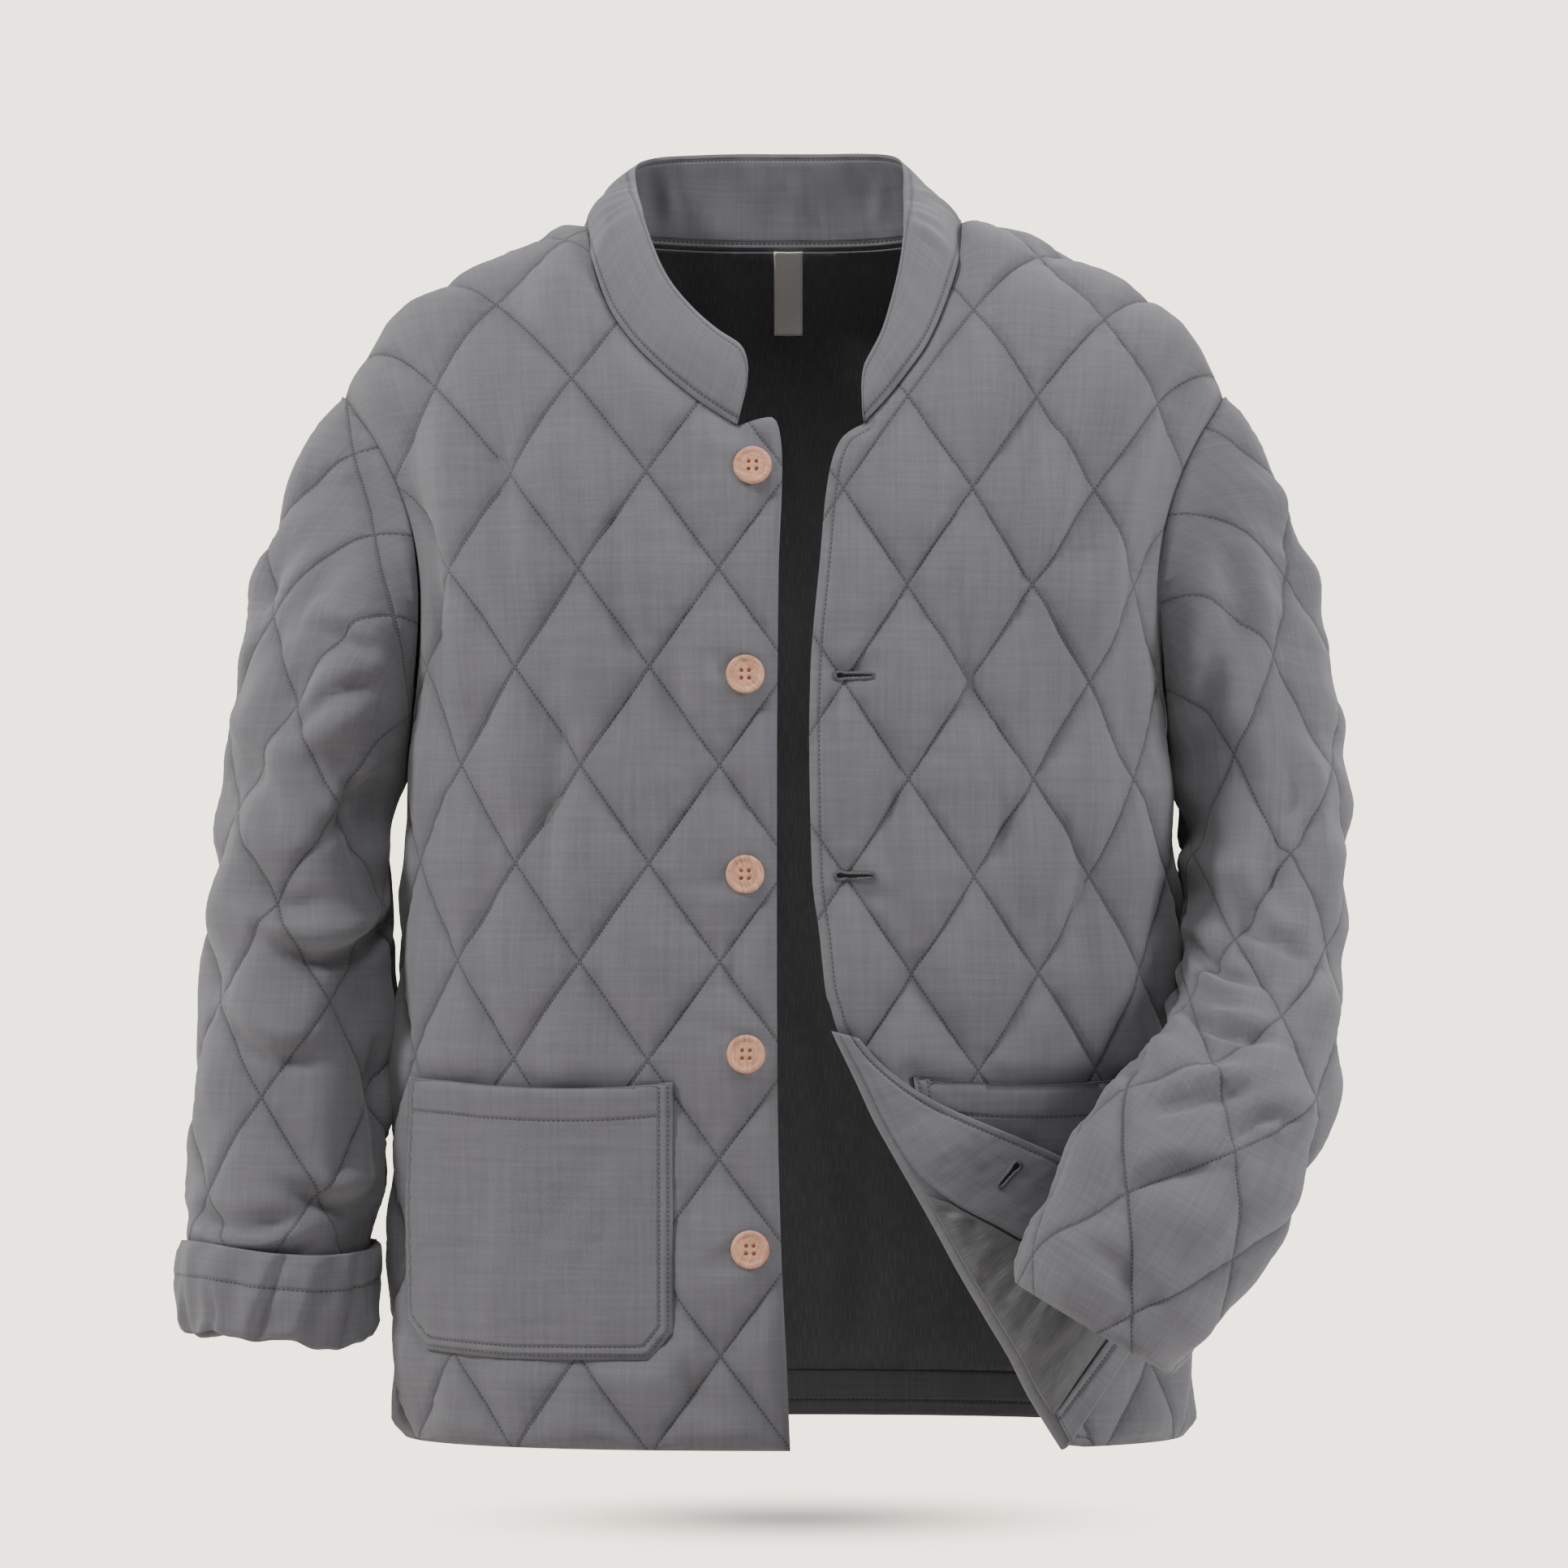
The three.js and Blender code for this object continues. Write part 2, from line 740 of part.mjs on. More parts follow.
// A closed wall between two grids of points, rows by columns.
function gridSolid(outer, inner) {
  const solid = new Solid();
  const rows = outer.length;
  const across = outer[0].length;
  for (let i = 0; i < rows - 1; i += 1) {
    for (let j = 0; j < across - 1; j += 1) {
      solid.quad(outer[i][j], outer[i][j + 1], outer[i + 1][j + 1], outer[i + 1][j]);
      solid.quad(inner[i][j], inner[i + 1][j], inner[i + 1][j + 1], inner[i][j + 1]);
    }
  }
  const rim = [];
  for (let j = 0; j < across - 1; j += 1) {
    rim.push([0, j, 0, j + 1]);
    rim.push([rows - 1, j + 1, rows - 1, j]);
  }
  for (let i = 0; i < rows - 1; i += 1) {
    rim.push([i, across - 1, i + 1, across - 1]);
    rim.push([i + 1, 0, i, 0]);
  }
  for (const [a, b, c, d] of rim) {
    solid.quad(outer[c][d], outer[a][b], inner[a][b], inner[c][d]);
  }
  return solid;
}

// Outlines of the body pieces.

function sampled(from, to, spacing) {
  const parts = Math.max(1, Math.ceil(Math.abs(to - from) / spacing));
  return Array.from({ length: parts }, (_, k) => mix(from, to, k / parts));
}

function armholeCloth(side, onBack) {
  return armhole.map((row) => {
    const around = onBack ? 2 * quarterCloth - row.u : row.u;
    return [side * around, chestCloth + row.up];
  });
}

function shoulderCloth(side, neckU, onBack) {
  const start = Math.abs(neckU);
  const line = [...sampled(shoulderTipCloth, start, 20), start];
  return line.map((w) => {
    const u = side * (onBack ? 2 * quarterCloth - w : w);
    return [u, topCloth(u)];
  });
}

function frontOutline(side, neckU, neck, edge, hemStart) {
  const outline = [];
  outline.push(...sampled(hemStart, quarterCloth, 19).map((w) => [side * w, 0]));
  outline.push(...sampled(0, chestCloth, 26).map((v) => [side * quarterCloth, v]));
  outline.push(...armholeCloth(side, false));
  outline.push(...shoulderCloth(side, neckU, false));
  outline.push(...[...neck].reverse().map((row) => clothAt(row.x, row.z)));
  const down = [...edge].reverse().map((row) => clothAt(row.x, row.z));
  down.push([side * hemStart, 0]);
  outline.push(...polyline(down, 18));
  return signedArea(outline) < 0 ? outline.reverse() : outline;
}

function backOutline() {
  const whole = 2 * quarterCloth;
  const outline = [];
  outline.push(...sampled(quarterCloth, 3 * quarterCloth, 19).map((u) => [u, 0]));
  outline.push(...sampled(0, chestCloth, 26).map((v) => [3 * quarterCloth, v]));
  const wrap = (point) => [point[0] < 0 ? point[0] + 2 * whole : point[0], point[1]];
  outline.push(...armholeCloth(-1, true).map(wrap));
  outline.push(...shoulderCloth(-1, shoulderNeck.buttonSide.u, true).map(wrap));
  outline.push(...neckBack.map((row) => wrap(clothAt(row.x || 0.01, row.z, false))));
  outline.push(...shoulderCloth(1, shoulderNeck.holeSide.u, true).reverse());
  outline.push(...armholeCloth(1, true).reverse());
  outline.push(...sampled(chestCloth, 0, 26).slice(1).map((v) => [quarterCloth, v]));
  return outline;
}

// The back is laid out with u from 300 to 900; past 600 it is the other side again.
function aroundBody(u) {
  return u > 2 * quarterCloth ? u - 4 * quarterCloth : u;
}

function bodyPanel(name, outline, lattice, pocket) {
  const scale = [lattice.width / cellsPerDiamond, lattice.height / cellsPerDiamond];
  const blockers = pocket ? [pocket] : [];
  const extra = pocket || [];
  const height = (u, v) => {
    const fromSide = Math.abs(Math.abs(aroundBody(u)) - quarterCloth);
    const underArm = fromSide < 40 && v > chestCloth - 80;
    if (underArm || (pocket && inside(pocket, [u, v]))) {
      return 0;
    }
    return quiltHeight(u, v, lattice);
  };
  const outerInner = [...extra, ...latticePoints(outline, lattice, 1, 1, blockers)];
  const innerInner = latticePoints(outline, lattice, 1, 2, []);
  const onPocketLine = new Set(extra.map((p) => p.join(",")));
  return {
    lattice,
    scale,
    innerInner,
    outerInner,
    solid: panelSolid({
      outline,
      outerInner,
      innerInner,
      scale,
      height,
      surface: (u, v) => bodyPoint(aroundBody(u), v),
      normalAt: (u, v) => bodyNormal(aroundBody(u), v),
      raise: (u, v, onEdge) => (onEdge || onPocketLine.has(`${u},${v}`) ? 0 : height(u, v)),
      sink: () => -wall,
    }),
  };
}

function pocketCloth(side, shape) {
  const corners = shape.map((row) => clothAt(side * row.x, row.z));
  const outline = polyline([...corners, corners[0]], 17);
  return signedArea(outline) < 0 ? outline.reverse() : outline;
}

function pocketSolid(outline, panel) {
  const inner = panel.outerInner.filter((p) => {
    return inside(outline, p) && distanceToPolygon(outline, p, panel.scale) > 0.2;
  });
  return panelSolid({
    outline,
    outerInner: inner,
    innerInner: inner,
    scale: panel.scale,
    height: null,
    inset: 0,
    surface: bodyPoint,
    normalAt: bodyNormal,
    raise: () => seamGap + 1.8,
    sink: () => seamGap,
  });
}

// Sleeves.

function smoothRow(table, position) {
  const k = clamp(Math.floor(position), 0, table.length - 2);
  const t = position - k;
  const rows = [-1, 0, 1, 2].map((n) => table[clamp(k + n, 0, table.length - 1)]);
  const row = {};
  for (const name of Object.keys(table[0])) {
    const [a, b, c, d] = rows.map((r) => r[name]);
    const slope = (c - a) / 2;
    const nextSlope = (d - b) / 2;
    const cubic = 2 * t * t * t - 3 * t * t + 1;
    const rise = t * t * t - 2 * t * t + t;
    const nextRise = t * t * t - t * t;
    row[name] = cubic * b + rise * slope + (1 - cubic) * c + nextRise * nextSlope;
  }
  return row;
}

function sectionPoint(row, turn, side) {
  const middle = [(row.outX + row.inX) / 2, row.midY, (row.outZ + row.inZ) / 2];
  const reach = [(row.outX - row.inX) / 2, 0, (row.outZ - row.inZ) / 2];
  const point = add(middle, reach, Math.cos(turn));
  return add(point, [0, row.halfY * side, 0], Math.sin(turn));
}

function makeSleeve(side, table) {
  const levels = [0];
  for (let k = 1; k < table.length; k += 1) {
    const centre = (row) => [(row.outX + row.inX) / 2, row.midY, (row.outZ + row.inZ) / 2];
    levels.push(levels[k - 1] + Math.hypot(...subtract(centre(table[k]), centre(table[k - 1]))));
  }
  const straight = levels[levels.length - 1];
  // The armhole loop: under the arm, up the back for w > 0 on the +X side, over the shoulder.
  const half = (onBack) => armholeCloth(side, onBack).map(([u, v]) => ({ u, v }));
  const tip = (onBack) => {
    const u = side * (onBack ? 2 * quarterCloth - shoulderTipCloth : shoulderTipCloth);
    return { u, v: topCloth(u) };
  };
  const loops = {};
  for (const onBack of [false, true]) {
    const stations = [...half(onBack), tip(onBack)];
    let length = 0;
    stations.forEach((s, k) => {
      s.point = bodyPoint(s.u, s.v);
      s.normal = bodyNormal(s.u, s.v);
      if (k > 0) {
        length += Math.hypot(...subtract(s.point, stations[k - 1].point));
      }
      s.length = length;
    });
    stations.forEach((s, k) => {
      s.part = s.length / length;
      const before = stations[Math.max(0, k - 1)];
      const after = stations[Math.min(stations.length - 1, k + 1)];
      const along = unit(subtract(after.point, before.point));
      const away = unit(cross(along, s.normal));
      s.away = dot(away, [2 * side, 0, 1]) > 0 ? away : away.map((n) => -n);
      if (k === 0) {
        s.away = [0, 0, 1];
      }
    });
    loops[onBack] = stations;
  }
  // Both halves of the cap leave the shoulder in one direction.
  const tips = [loops[false].at(-1), loops[true].at(-1)];
  const shared = unit(add(tips[0].away, tips[1].away));
  tips.forEach((s) => {
    s.away = shared;
  });
  const seamAt = (w) => {
    const wrapped = ((((w + sleeveHalfCloth) % (2 * sleeveHalfCloth)) + 2 * sleeveHalfCloth)
      % (2 * sleeveHalfCloth)) - sleeveHalfCloth;
    const stations = loops[wrapped * side > 0];
    const part = 1 - Math.abs(wrapped) / sleeveHalfCloth;
    let k = 0;
    while (k < stations.length - 2 && part > stations[k + 1].part) {
      k += 1;
    }
    const a = stations[k];
    const b = stations[k + 1];
    const t = clamp((part - a.part) / (b.part - a.part), 0, 1);
    const point = mixPoint(a.point, b.point, t);
    const normal = unit(mixPoint(a.normal, b.normal, t));
    const away = unit(mixPoint(a.away, b.away, t));
    // Under the arm the sleeve folds back on the body, at the shoulder it runs on.
    const ease = clamp((part - 0.02) / 0.62, 0, 1);
    const turn = Math.PI * (1 - ease * ease * (3 - 2 * ease));
    const turned = (x, y) => unit(add(away.map((n) => n * x), normal, y));
    return {
      point,
      part,
      leave: turned(Math.cos(turn), Math.sin(turn)),
      across: turned(Math.sin(turn), -Math.cos(turn)),
      clear: turned(Math.cos(turn / 2), Math.sin(turn / 2)),
    };
  };
  const ringAt = (w, l) => {
    let k = 0;
    while (k < levels.length - 2 && l > levels[k + 1]) {
      k += 1;
    }
    const position = k + clamp((l - levels[k]) / (levels[k + 1] - levels[k]), 0, 1);
    return sectionPoint(smoothRow(table, position), (Math.PI * w) / sleeveHalfCloth, side);
  };
  const capLength = (w) => {
    const seam = seamAt(w);
    return 1.04 * Math.hypot(...subtract(ringAt(w, straight), seam.point));
  };
  const surface = (w, l) => {
    if (l <= straight) {
      return ringAt(w, Math.max(0, l));
    }
    const seam = seamAt(w);
    const length = capLength(w);
    const t = clamp((l - straight) / length, 0, 1);
    const start = ringAt(w, straight);
    const startSlope = unit(subtract(start, ringAt(w, straight - 12)));
    const endSlope = seam.leave.map((n) => -n);
    const cubic = 2 * t * t * t - 3 * t * t + 1;
    const rise = t * t * t - 2 * t * t + t;
    const nextRise = t * t * t - t * t;
    let point = [0, 1, 2].map((n) => cubic * start[n] + (1 - cubic) * seam.point[n]);
    point = add(point, startSlope, rise * length);
    return add(point, endSlope, nextRise * length);
  };
  const normalAt = (w, l) => {
    const step = 2;
    const top = straight + capLength(w) - 0.01;
    const high = Math.min(l + step, top);
    const across = subtract(surface(w + step, Math.min(l, top)), surface(w - step, Math.min(l, top)));
    const upward = subtract(surface(w, high), surface(w, high - 2 * step));
    return unit(cross(across, upward));
  };
  const capTop = (w) => straight + capLength(w);
  const bend = side < 0 ? straight - 60 : 60;
  return { side, straight, bend, surface, normalAt, seamAt, capTop, loops };
}

function sleeveSolid(sleeve, pressed) {
  const lattice = quilting.sleeves;
  const scale = [lattice.width / cellsPerDiamond, lattice.height / cellsPerDiamond];
  const half = sleeveHalfCloth;
  const stationW = (onBack) => sleeve.loops[onBack].map((s) => (1 - s.part) * half);
  const positive = stationW(sleeve.side > 0);
  const negative = stationW(sleeve.side < 0);
  const topLine = [
    ...positive.map((w) => w),
    ...[...negative].reverse().slice(1).map((w) => -w),
  ];
  const outline = [];
  const flags = [];
  const push = (point, flag) => {
    outline.push(point);
    flags.push(flag);
  };
  const low = 0;
  sampled(-half, half, 19).forEach((w, k) => push([w, low], k === 0 ? "corner" : "cuff"));
  const seamTop = sleeve.capTop(half);
  sampled(low, seamTop, 26).forEach((l, k) => push([half, l], k === 0 ? "corner" : "seam"));
  topLine.forEach((w, k) => {
    const isEnd = k === 0 || k === topLine.length - 1;
    push([w, sleeve.capTop(w)], isEnd ? "corner" : "cap");
  });
  sampled(seamTop, low, 26).slice(1).forEach((l) => push([-half, l], "seam"));
  const outerInner = latticePoints(outline, lattice, 1, 1, []);
  const innerInner = latticePoints(outline, lattice, 1, 2, [], sleeve.bend);
  const height = (u, v) => {
    const underArm = Math.abs(u) > 140 && v > sleeve.straight - 25;
    return v < pressed || underArm ? 0 : quiltHeight(u, v, lattice);
  };
  const isSeam = (k) => flags[k] === "seam" || flags[k] === "corner";
  return panelSolid({
    outline,
    outerInner,
    innerInner,
    scale,
    height,
    inset: 0,
    surface: sleeve.surface,
    normalAt: sleeve.normalAt,
    raise: (u, v, onEdge) => (onEdge ? 0 : height(u, v)),
    sink: () => -wall,
    welded: isSeam,
    open: (a, b) => flags[a] === "corner" && flags[b] === "corner",
    edges: (outerPoints, innerPoints, count) => {
      for (let k = 0; k < count; k += 1) {
        const onCap = flags[k] === "cap" || (flags[k] === "corner" && outline[k][1] > low + 1);
        if (onCap) {
          const seam = sleeve.seamAt(outline[k][0]);
          outerPoints[k] = add(seam.point, seam.clear, seamGap / 2);
          innerPoints[k] = add(outerPoints[k], seam.across, wall);
        }
      }
    },
  });
}

// The rolled cuff: a doubled band outside the end of the hanging sleeve.
function cuffSolid(sleeve) {
  const parts = 40;
  const band = [
    { l: -9, off: 0.2, thick: 1 },
    { l: -8, off: 6.0, thick: 5.4 },
    { l: 4, off: 7.6, thick: 6.6 },
    { l: 24, off: 8.0, thick: 6.8 },
    { l: 42, off: 7.2, thick: 6.0 },
    { l: 45, off: 4.2, thick: 3.0 },
  ];
  const solid = new Solid();
  const at = (w, row, off) => {
    const wave = 3.5 * Math.sin((w / sleeveHalfCloth) * Math.PI * 2 + 0.6);
    const l = row.l + wave;
    const base = sleeve.surface(w, Math.max(l, 0));
    const normal = sleeve.normalAt(w, Math.max(l, 2));
    const drop = l < 0 ? [0, 0, l] : [0, 0, 0];
    return add(add(base, drop), normal, off);
  };
  const rows = band.slice(1);
  const outer = rows.map((row) => []);
  const inner = rows.map((row) => []);
  for (let k = 0; k < parts; k += 1) {
    const w = -sleeveHalfCloth + (2 * sleeveHalfCloth * k) / parts;
    rows.forEach((row, n) => {
      outer[n].push(at(w, row, row.off));
      inner[n].push(at(w, row, 0.6));
    });
  }
  for (let n = 0; n < rows.length - 1; n += 1) {
    for (let k = 0; k < parts; k += 1) {
      const next = (k + 1) % parts;
      solid.quad(outer[n][k], outer[n][next], outer[n + 1][next], outer[n + 1][k]);
      solid.quad(inner[n][k], inner[n + 1][k], inner[n + 1][next], inner[n][next]);
    }
  }
  const last = rows.length - 1;
  for (let k = 0; k < parts; k += 1) {
    const next = (k + 1) % parts;
    solid.quad(outer[0][next], outer[0][k], inner[0][k], inner[0][next]);
    solid.quad(outer[last][k], outer[last][next], inner[last][next], inner[last][k]);
  }
  return solid;
}

// Collar.

function collarSolid() {
  const stations = [];
  const station = (u, v, top, away) => {
    const point = bodyPoint(u, v);
    const normal = bodyNormal(u, v);
    stations.push({ point, normal, top: [top.topX, top.topY, top.topZ], away });
  };
  for (const row of neckButtonSide) {
    station(...clothAt(row.x, row.z), row);
  }
  const leftU = shoulderNeck.buttonSide.u;
  station(leftU, topCloth(leftU), shoulderNeck.buttonSide);
  for (const row of neckBack) {
    station(...clothAt(row.x || 0.01, row.z, false), row);
  }
  const rightU = shoulderNeck.holeSide.u;
  station(rightU, topCloth(rightU), shoulderNeck.holeSide);
  for (const row of [...neckButtonHoleSide].reverse()) {
    station(...clothAt(row.x, row.z), row);
  }
  const count = stations.length;
  const outer = [];
  const inner = [];
  stations.forEach((s, k) => {
    const before = stations[Math.max(0, k - 1)];
    const after = stations[Math.min(count - 1, k + 1)];
    const along = unit(subtract(after.point, before.point));
    const towardNeck = unit(cross(s.normal, along));
    const climb = unit(subtract(s.top, s.point));
    const away = dot(towardNeck, climb) < -0.2 ? towardNeck.map((n) => -n) : towardNeck;
    const faceOut = unit(cross(climb, along));
    const facing = dot(faceOut, s.normal) < 0 ? faceOut.map((n) => -n) : faceOut;
    const foot = add(s.point, away, seamGap);
    const footInner = add(foot, s.normal, -wall);
    const outerRow = [foot];
    const innerRow = [footInner];
    for (const part of [0.16, 0.45, 0.75, 1]) {
      const bow = 3.5 * Math.sin(Math.PI * part);
      const point = add(mixPoint(s.point, s.top, part), facing, bow);
      outerRow.push(add(point, away, seamGap));
      innerRow.push(add(point, facing, -wall));
    }
    outer.push(outerRow);
    inner.push(innerRow);
  });
  return gridSolid(outer, inner);
}

// Turned corner of the buttonhole side.

function stationsOf(table, count) {
  const lengths = [0];
  for (let k = 1; k < table.length; k += 1) {
    const run = Math.hypot(table[k].x - table[k - 1].x, table[k].z - table[k - 1].z);
    lengths.push(lengths[k - 1] + run);
  }
  const whole = lengths[lengths.length - 1];
  const rows = table.map((row, k) => ({ at: lengths[k] / whole, x: row.x, z: row.z }));
  return Array.from({ length: count }, (_, k) => rowAt(rows, "at", k / (count - 1)));
}

function overFront(x, z, off) {
  const [u, v] = clothAt(x, z);
  return add(bodyPoint(u, v), bodyNormal(u, v), off);
}

function ruledSolid(first, second, options) {
  const { along, across, outerOff, innerOff, margin } = options;
  const a = stationsOf(first, along);
  const b = stationsOf(second, along);
  const outer = [];
  const inner = [];
  for (let i = 0; i < along; i += 1) {
    const outerRow = [];
    const innerRow = [];
    for (let j = 0; j <= across; j += 1) {
      const t = mix(margin[0], 1 - margin[1], j / across);
      const x = mix(a[i].x, b[i].x, t);
      const z = mix(a[i].z, b[i].z, t);
      outerRow.push(overFront(x, z, outerOff));
      innerRow.push(overFront(x, z, innerOff));
    }
    if (options.lip) {
      const dx = b[i].x - a[i].x;
      const dz = b[i].z - a[i].z;
      const size = Math.hypot(dx, dz) || 1;
      const at = (shift, off) => overFront(a[i].x + (dx / size) * shift, a[i].z + (dz / size) * shift, off);
      outerRow.unshift(at(-3.4, -2.6), at(-3.4, outerOff - 3));
      innerRow.unshift(at(-0.6, -2.6), at(-0.6, innerOff));
      outerRow[2] = at(-1.0, outerOff);
      innerRow[2] = at(0.6, innerOff);
    }
    outer.push(outerRow);
    inner.push(innerRow);
  }
  const flipped = outer.map((row) => [...row]);
  return gridSolid(flipped.reverse(), [...inner].reverse());
}

// Buttons.

function seatHeight(triangles, centre, axes, radius) {
  const [right, upward, normal] = axes;
  let best = -Infinity;
  for (let ring = 0; ring <= 3; ring += 1) {
    for (let k = 0; k < 24; k += 1) {
      const turn = (k / 24) * Math.PI * 2;
      const px = (radius * ring) / 3 * Math.cos(turn);
      const py = (radius * ring) / 3 * Math.sin(turn);
      for (const t of triangles) {
        const local = t.map((p) => {
          const d = subtract(p, centre);
          return [dot(d, right), dot(d, upward), dot(d, normal)];
        });
        if (Math.abs(local[0][0]) > 80 || Math.abs(local[0][1]) > 80 || Math.abs(local[0][2]) > 60) {
          continue;
        }
        const [a, b, c] = local;
        const d = (b[1] - c[1]) * (a[0] - c[0]) + (c[0] - b[0]) * (a[1] - c[1]);
        const wa = ((b[1] - c[1]) * (px - c[0]) + (c[0] - b[0]) * (py - c[1])) / d;
        const wb = ((c[1] - a[1]) * (px - c[0]) + (a[0] - c[0]) * (py - c[1])) / d;
        const wc = 1 - wa - wb;
        if (wa > -1e-6 && wb > -1e-6 && wc > -1e-6) {
          best = Math.max(best, wa * a[2] + wb * b[2] + wc * c[2]);
        }
      }
    }
  }
  return best;
}

function buttonMesh(name, place, triangles) {
  const [u, v] = clothAt(place.x, place.z);
  const centre = bodyPoint(u, v);
  const normal = bodyNormal(u, v);
  const right = unit(cross([0, 0, 1], normal)).map((n) => n);
  const upward = unit(cross(normal, right));
  const seat = seatHeight(triangles, centre, [right, upward, normal], buttonRadius) + 0.15;
  const profile = [
    { r: 9.2, h: 0 },
    { r: 10.6, h: 0.9 },
    { r: buttonRadius, h: 2.2 },
    { r: 10.5, h: 3.2 },
    { r: 9.6, h: buttonThickness },
    { r: 8.2, h: 2.7 },
  ];
  const parts = 24;
  const solid = new Solid();
  const at = (x, y, h) => add(add(add(centre, right, x), upward, y), normal, seat + h);
  const ring = (row) => Array.from({ length: parts }, (_, k) => {
    const turn = (k / parts) * Math.PI * 2;
    return at(row.r * Math.cos(turn), row.r * Math.sin(turn), row.h);
  });
  const rings = profile.map(ring);
  for (let n = 0; n < rings.length - 1; n += 1) {
    for (let k = 0; k < parts; k += 1) {
      const next = (k + 1) % parts;
      solid.quad(rings[n][k], rings[n][next], rings[n + 1][next], rings[n + 1][k]);
    }
  }
  // Four sewing holes cut right through the middle.
  const holes = [];
  const holeParts = 6;
  for (const [x, y] of [[2.2, 2.2], [-2.2, 2.2], [-2.2, -2.2], [2.2, -2.2]]) {
    holes.push({ x, y });
  }
  const holeRing = (hole, h) => Array.from({ length: holeParts }, (_, k) => {
    const turn = (k / holeParts) * Math.PI * 2 + 0.31 + hole.x * 0.07 + hole.y * 0.03;
    return [hole.x + 1.1 * Math.cos(turn), hole.y + 1.1 * Math.sin(turn), h];
  });
  const cap = (radius, h, facingUp) => {
    const rim = Array.from({ length: parts }, (_, k) => {
      const turn = (k / parts) * Math.PI * 2;
      return new THREE.Vector2(radius * Math.cos(turn), radius * Math.sin(turn));
    });
    const loops = holes.map((hole) => holeRing(hole, h).map((p) => new THREE.Vector2(p[0], p[1])));
    const flat = [...rim, ...loops.flat()];
    for (const t of THREE.ShapeUtils.triangulateShape(rim, loops)) {
      const [a, b, c] = t.map((n) => at(flat[n].x, flat[n].y, h));
      const area = (flat[t[1]].x - flat[t[0]].x) * (flat[t[2]].y - flat[t[0]].y)
        - (flat[t[2]].x - flat[t[0]].x) * (flat[t[1]].y - flat[t[0]].y);
      if (area > 0 === facingUp) {
        solid.face(a, b, c);
      } else {
        solid.face(a, c, b);
      }
    }
  };
  const last = profile[profile.length - 1];
  cap(last.r, last.h, true);
  cap(profile[0].r, 0, false);
  for (const hole of holes) {
    const low = holeRing(hole, 0).map((p) => at(...p));
    const high = holeRing(hole, last.h).map((p) => at(...p));
    for (let k = 0; k < holeParts; k += 1) {
      const next = (k + 1) % holeParts;
      solid.quad(low[next], low[k], high[k], high[next]);
    }
  }
  return solid.mesh(name, wood);
}

// Inside of the back.

function backLayer(outline, inner, near, far) {
  const lattice = quilting.back;
  return panelSolid({
    outline,
    outerInner: inner,
    innerInner: inner,
    scale: [lattice.width / cellsPerDiamond, lattice.height / cellsPerDiamond],
    height: null,
    surface: (u, v) => bodyPoint(aroundBody(u), v),
    normalAt: (u, v) => bodyNormal(aroundBody(u), v),
    raise: () => -near,
    sink: () => -far,
  });
}

// Assembly.

const jacket = new THREE.Group();
jacket.name = "quilted_jacket";

const rightPocket = pocketCloth(-1, pocketShape);
const leftPocket = pocketCloth(1, foldedPocketShape);

const frontRightOutline = frontOutline(
  -1, shoulderNeck.buttonSide.u, neckButtonSide, buttonEdge, 2,
);
const frontLeftEdge = [...[...foldLine].reverse(), ...holeEdge];
const frontLeftOutline = frontOutline(
  1, shoulderNeck.holeSide.u, neckButtonHoleSide, frontLeftEdge, 165,
);
const frontRight = bodyPanel("front_right", frontRightOutline, quilting.buttonSide, rightPocket);
const frontLeft = bodyPanel("front_left", frontLeftOutline, quilting.holeSide, leftPocket);
const backShape = backOutline();
const back = bodyPanel("back", backShape, quilting.back, null);
jacket.add(frontRight.solid.mesh("front_right", greyCloth));
jacket.add(frontLeft.solid.mesh("front_left", greyCloth));
jacket.add(back.solid.mesh("back", greyCloth));
jacket.add(pocketSolid(rightPocket, frontRight).mesh("pocket_right", greyCloth));
jacket.add(pocketSolid(leftPocket, frontLeft).mesh("pocket_left", greyCloth));

const rightSleeve = makeSleeve(-1, hangingSleeve);
const leftSleeve = makeSleeve(1, bentSleeve);
jacket.add(sleeveSolid(rightSleeve, 56).mesh("sleeve_right", greyCloth));
jacket.add(sleeveSolid(leftSleeve, 0).mesh("sleeve_left", greyCloth));
jacket.add(cuffSolid(rightSleeve).mesh("cuff_right", greyCloth));
jacket.add(collarSolid().mesh("collar", greyCloth));

buttonPlaces.forEach((place, k) => {
  jacket.add(buttonMesh(`button_${k + 1}`, place, frontRight.solid.outer));
});

// Inside of the back: satin lining down to the turned-up hem, and a bare woven tab at the neck.
const turnUpDepth = 27;
const liningShape = backShape
  .filter(([u, v]) => v > turnUpDepth + 6 || v === 0)
  .map(([u, v]) => [u, v === 0 ? turnUpDepth : v]);
const turnUpTop = turnUpDepth - 0.4;
const turnUpShape = [
  ...sampled(quarterCloth, 3 * quarterCloth, 19).map((u) => [u, 0]),
  [3 * quarterCloth, 0],
  [3 * quarterCloth, turnUpTop / 2],
  ...sampled(3 * quarterCloth, quarterCloth, 19).map((u) => [u, turnUpTop]),
  [quarterCloth, turnUpTop],
  [quarterCloth, turnUpTop / 2],
];
const liningNear = wall + 0.8;
const liningInner = back.innerInner.filter((p) => {
  return inside(liningShape, p) && distanceToPolygon(liningShape, p, back.scale) > 0.4;
});
jacket.add(backLayer(liningShape, liningInner, liningNear, liningNear + 1.0).mesh("lining_back", darkLining));
jacket.add(backLayer(turnUpShape, [], liningNear, liningNear + 1.2).mesh("hem_facing_back", greyCloth));

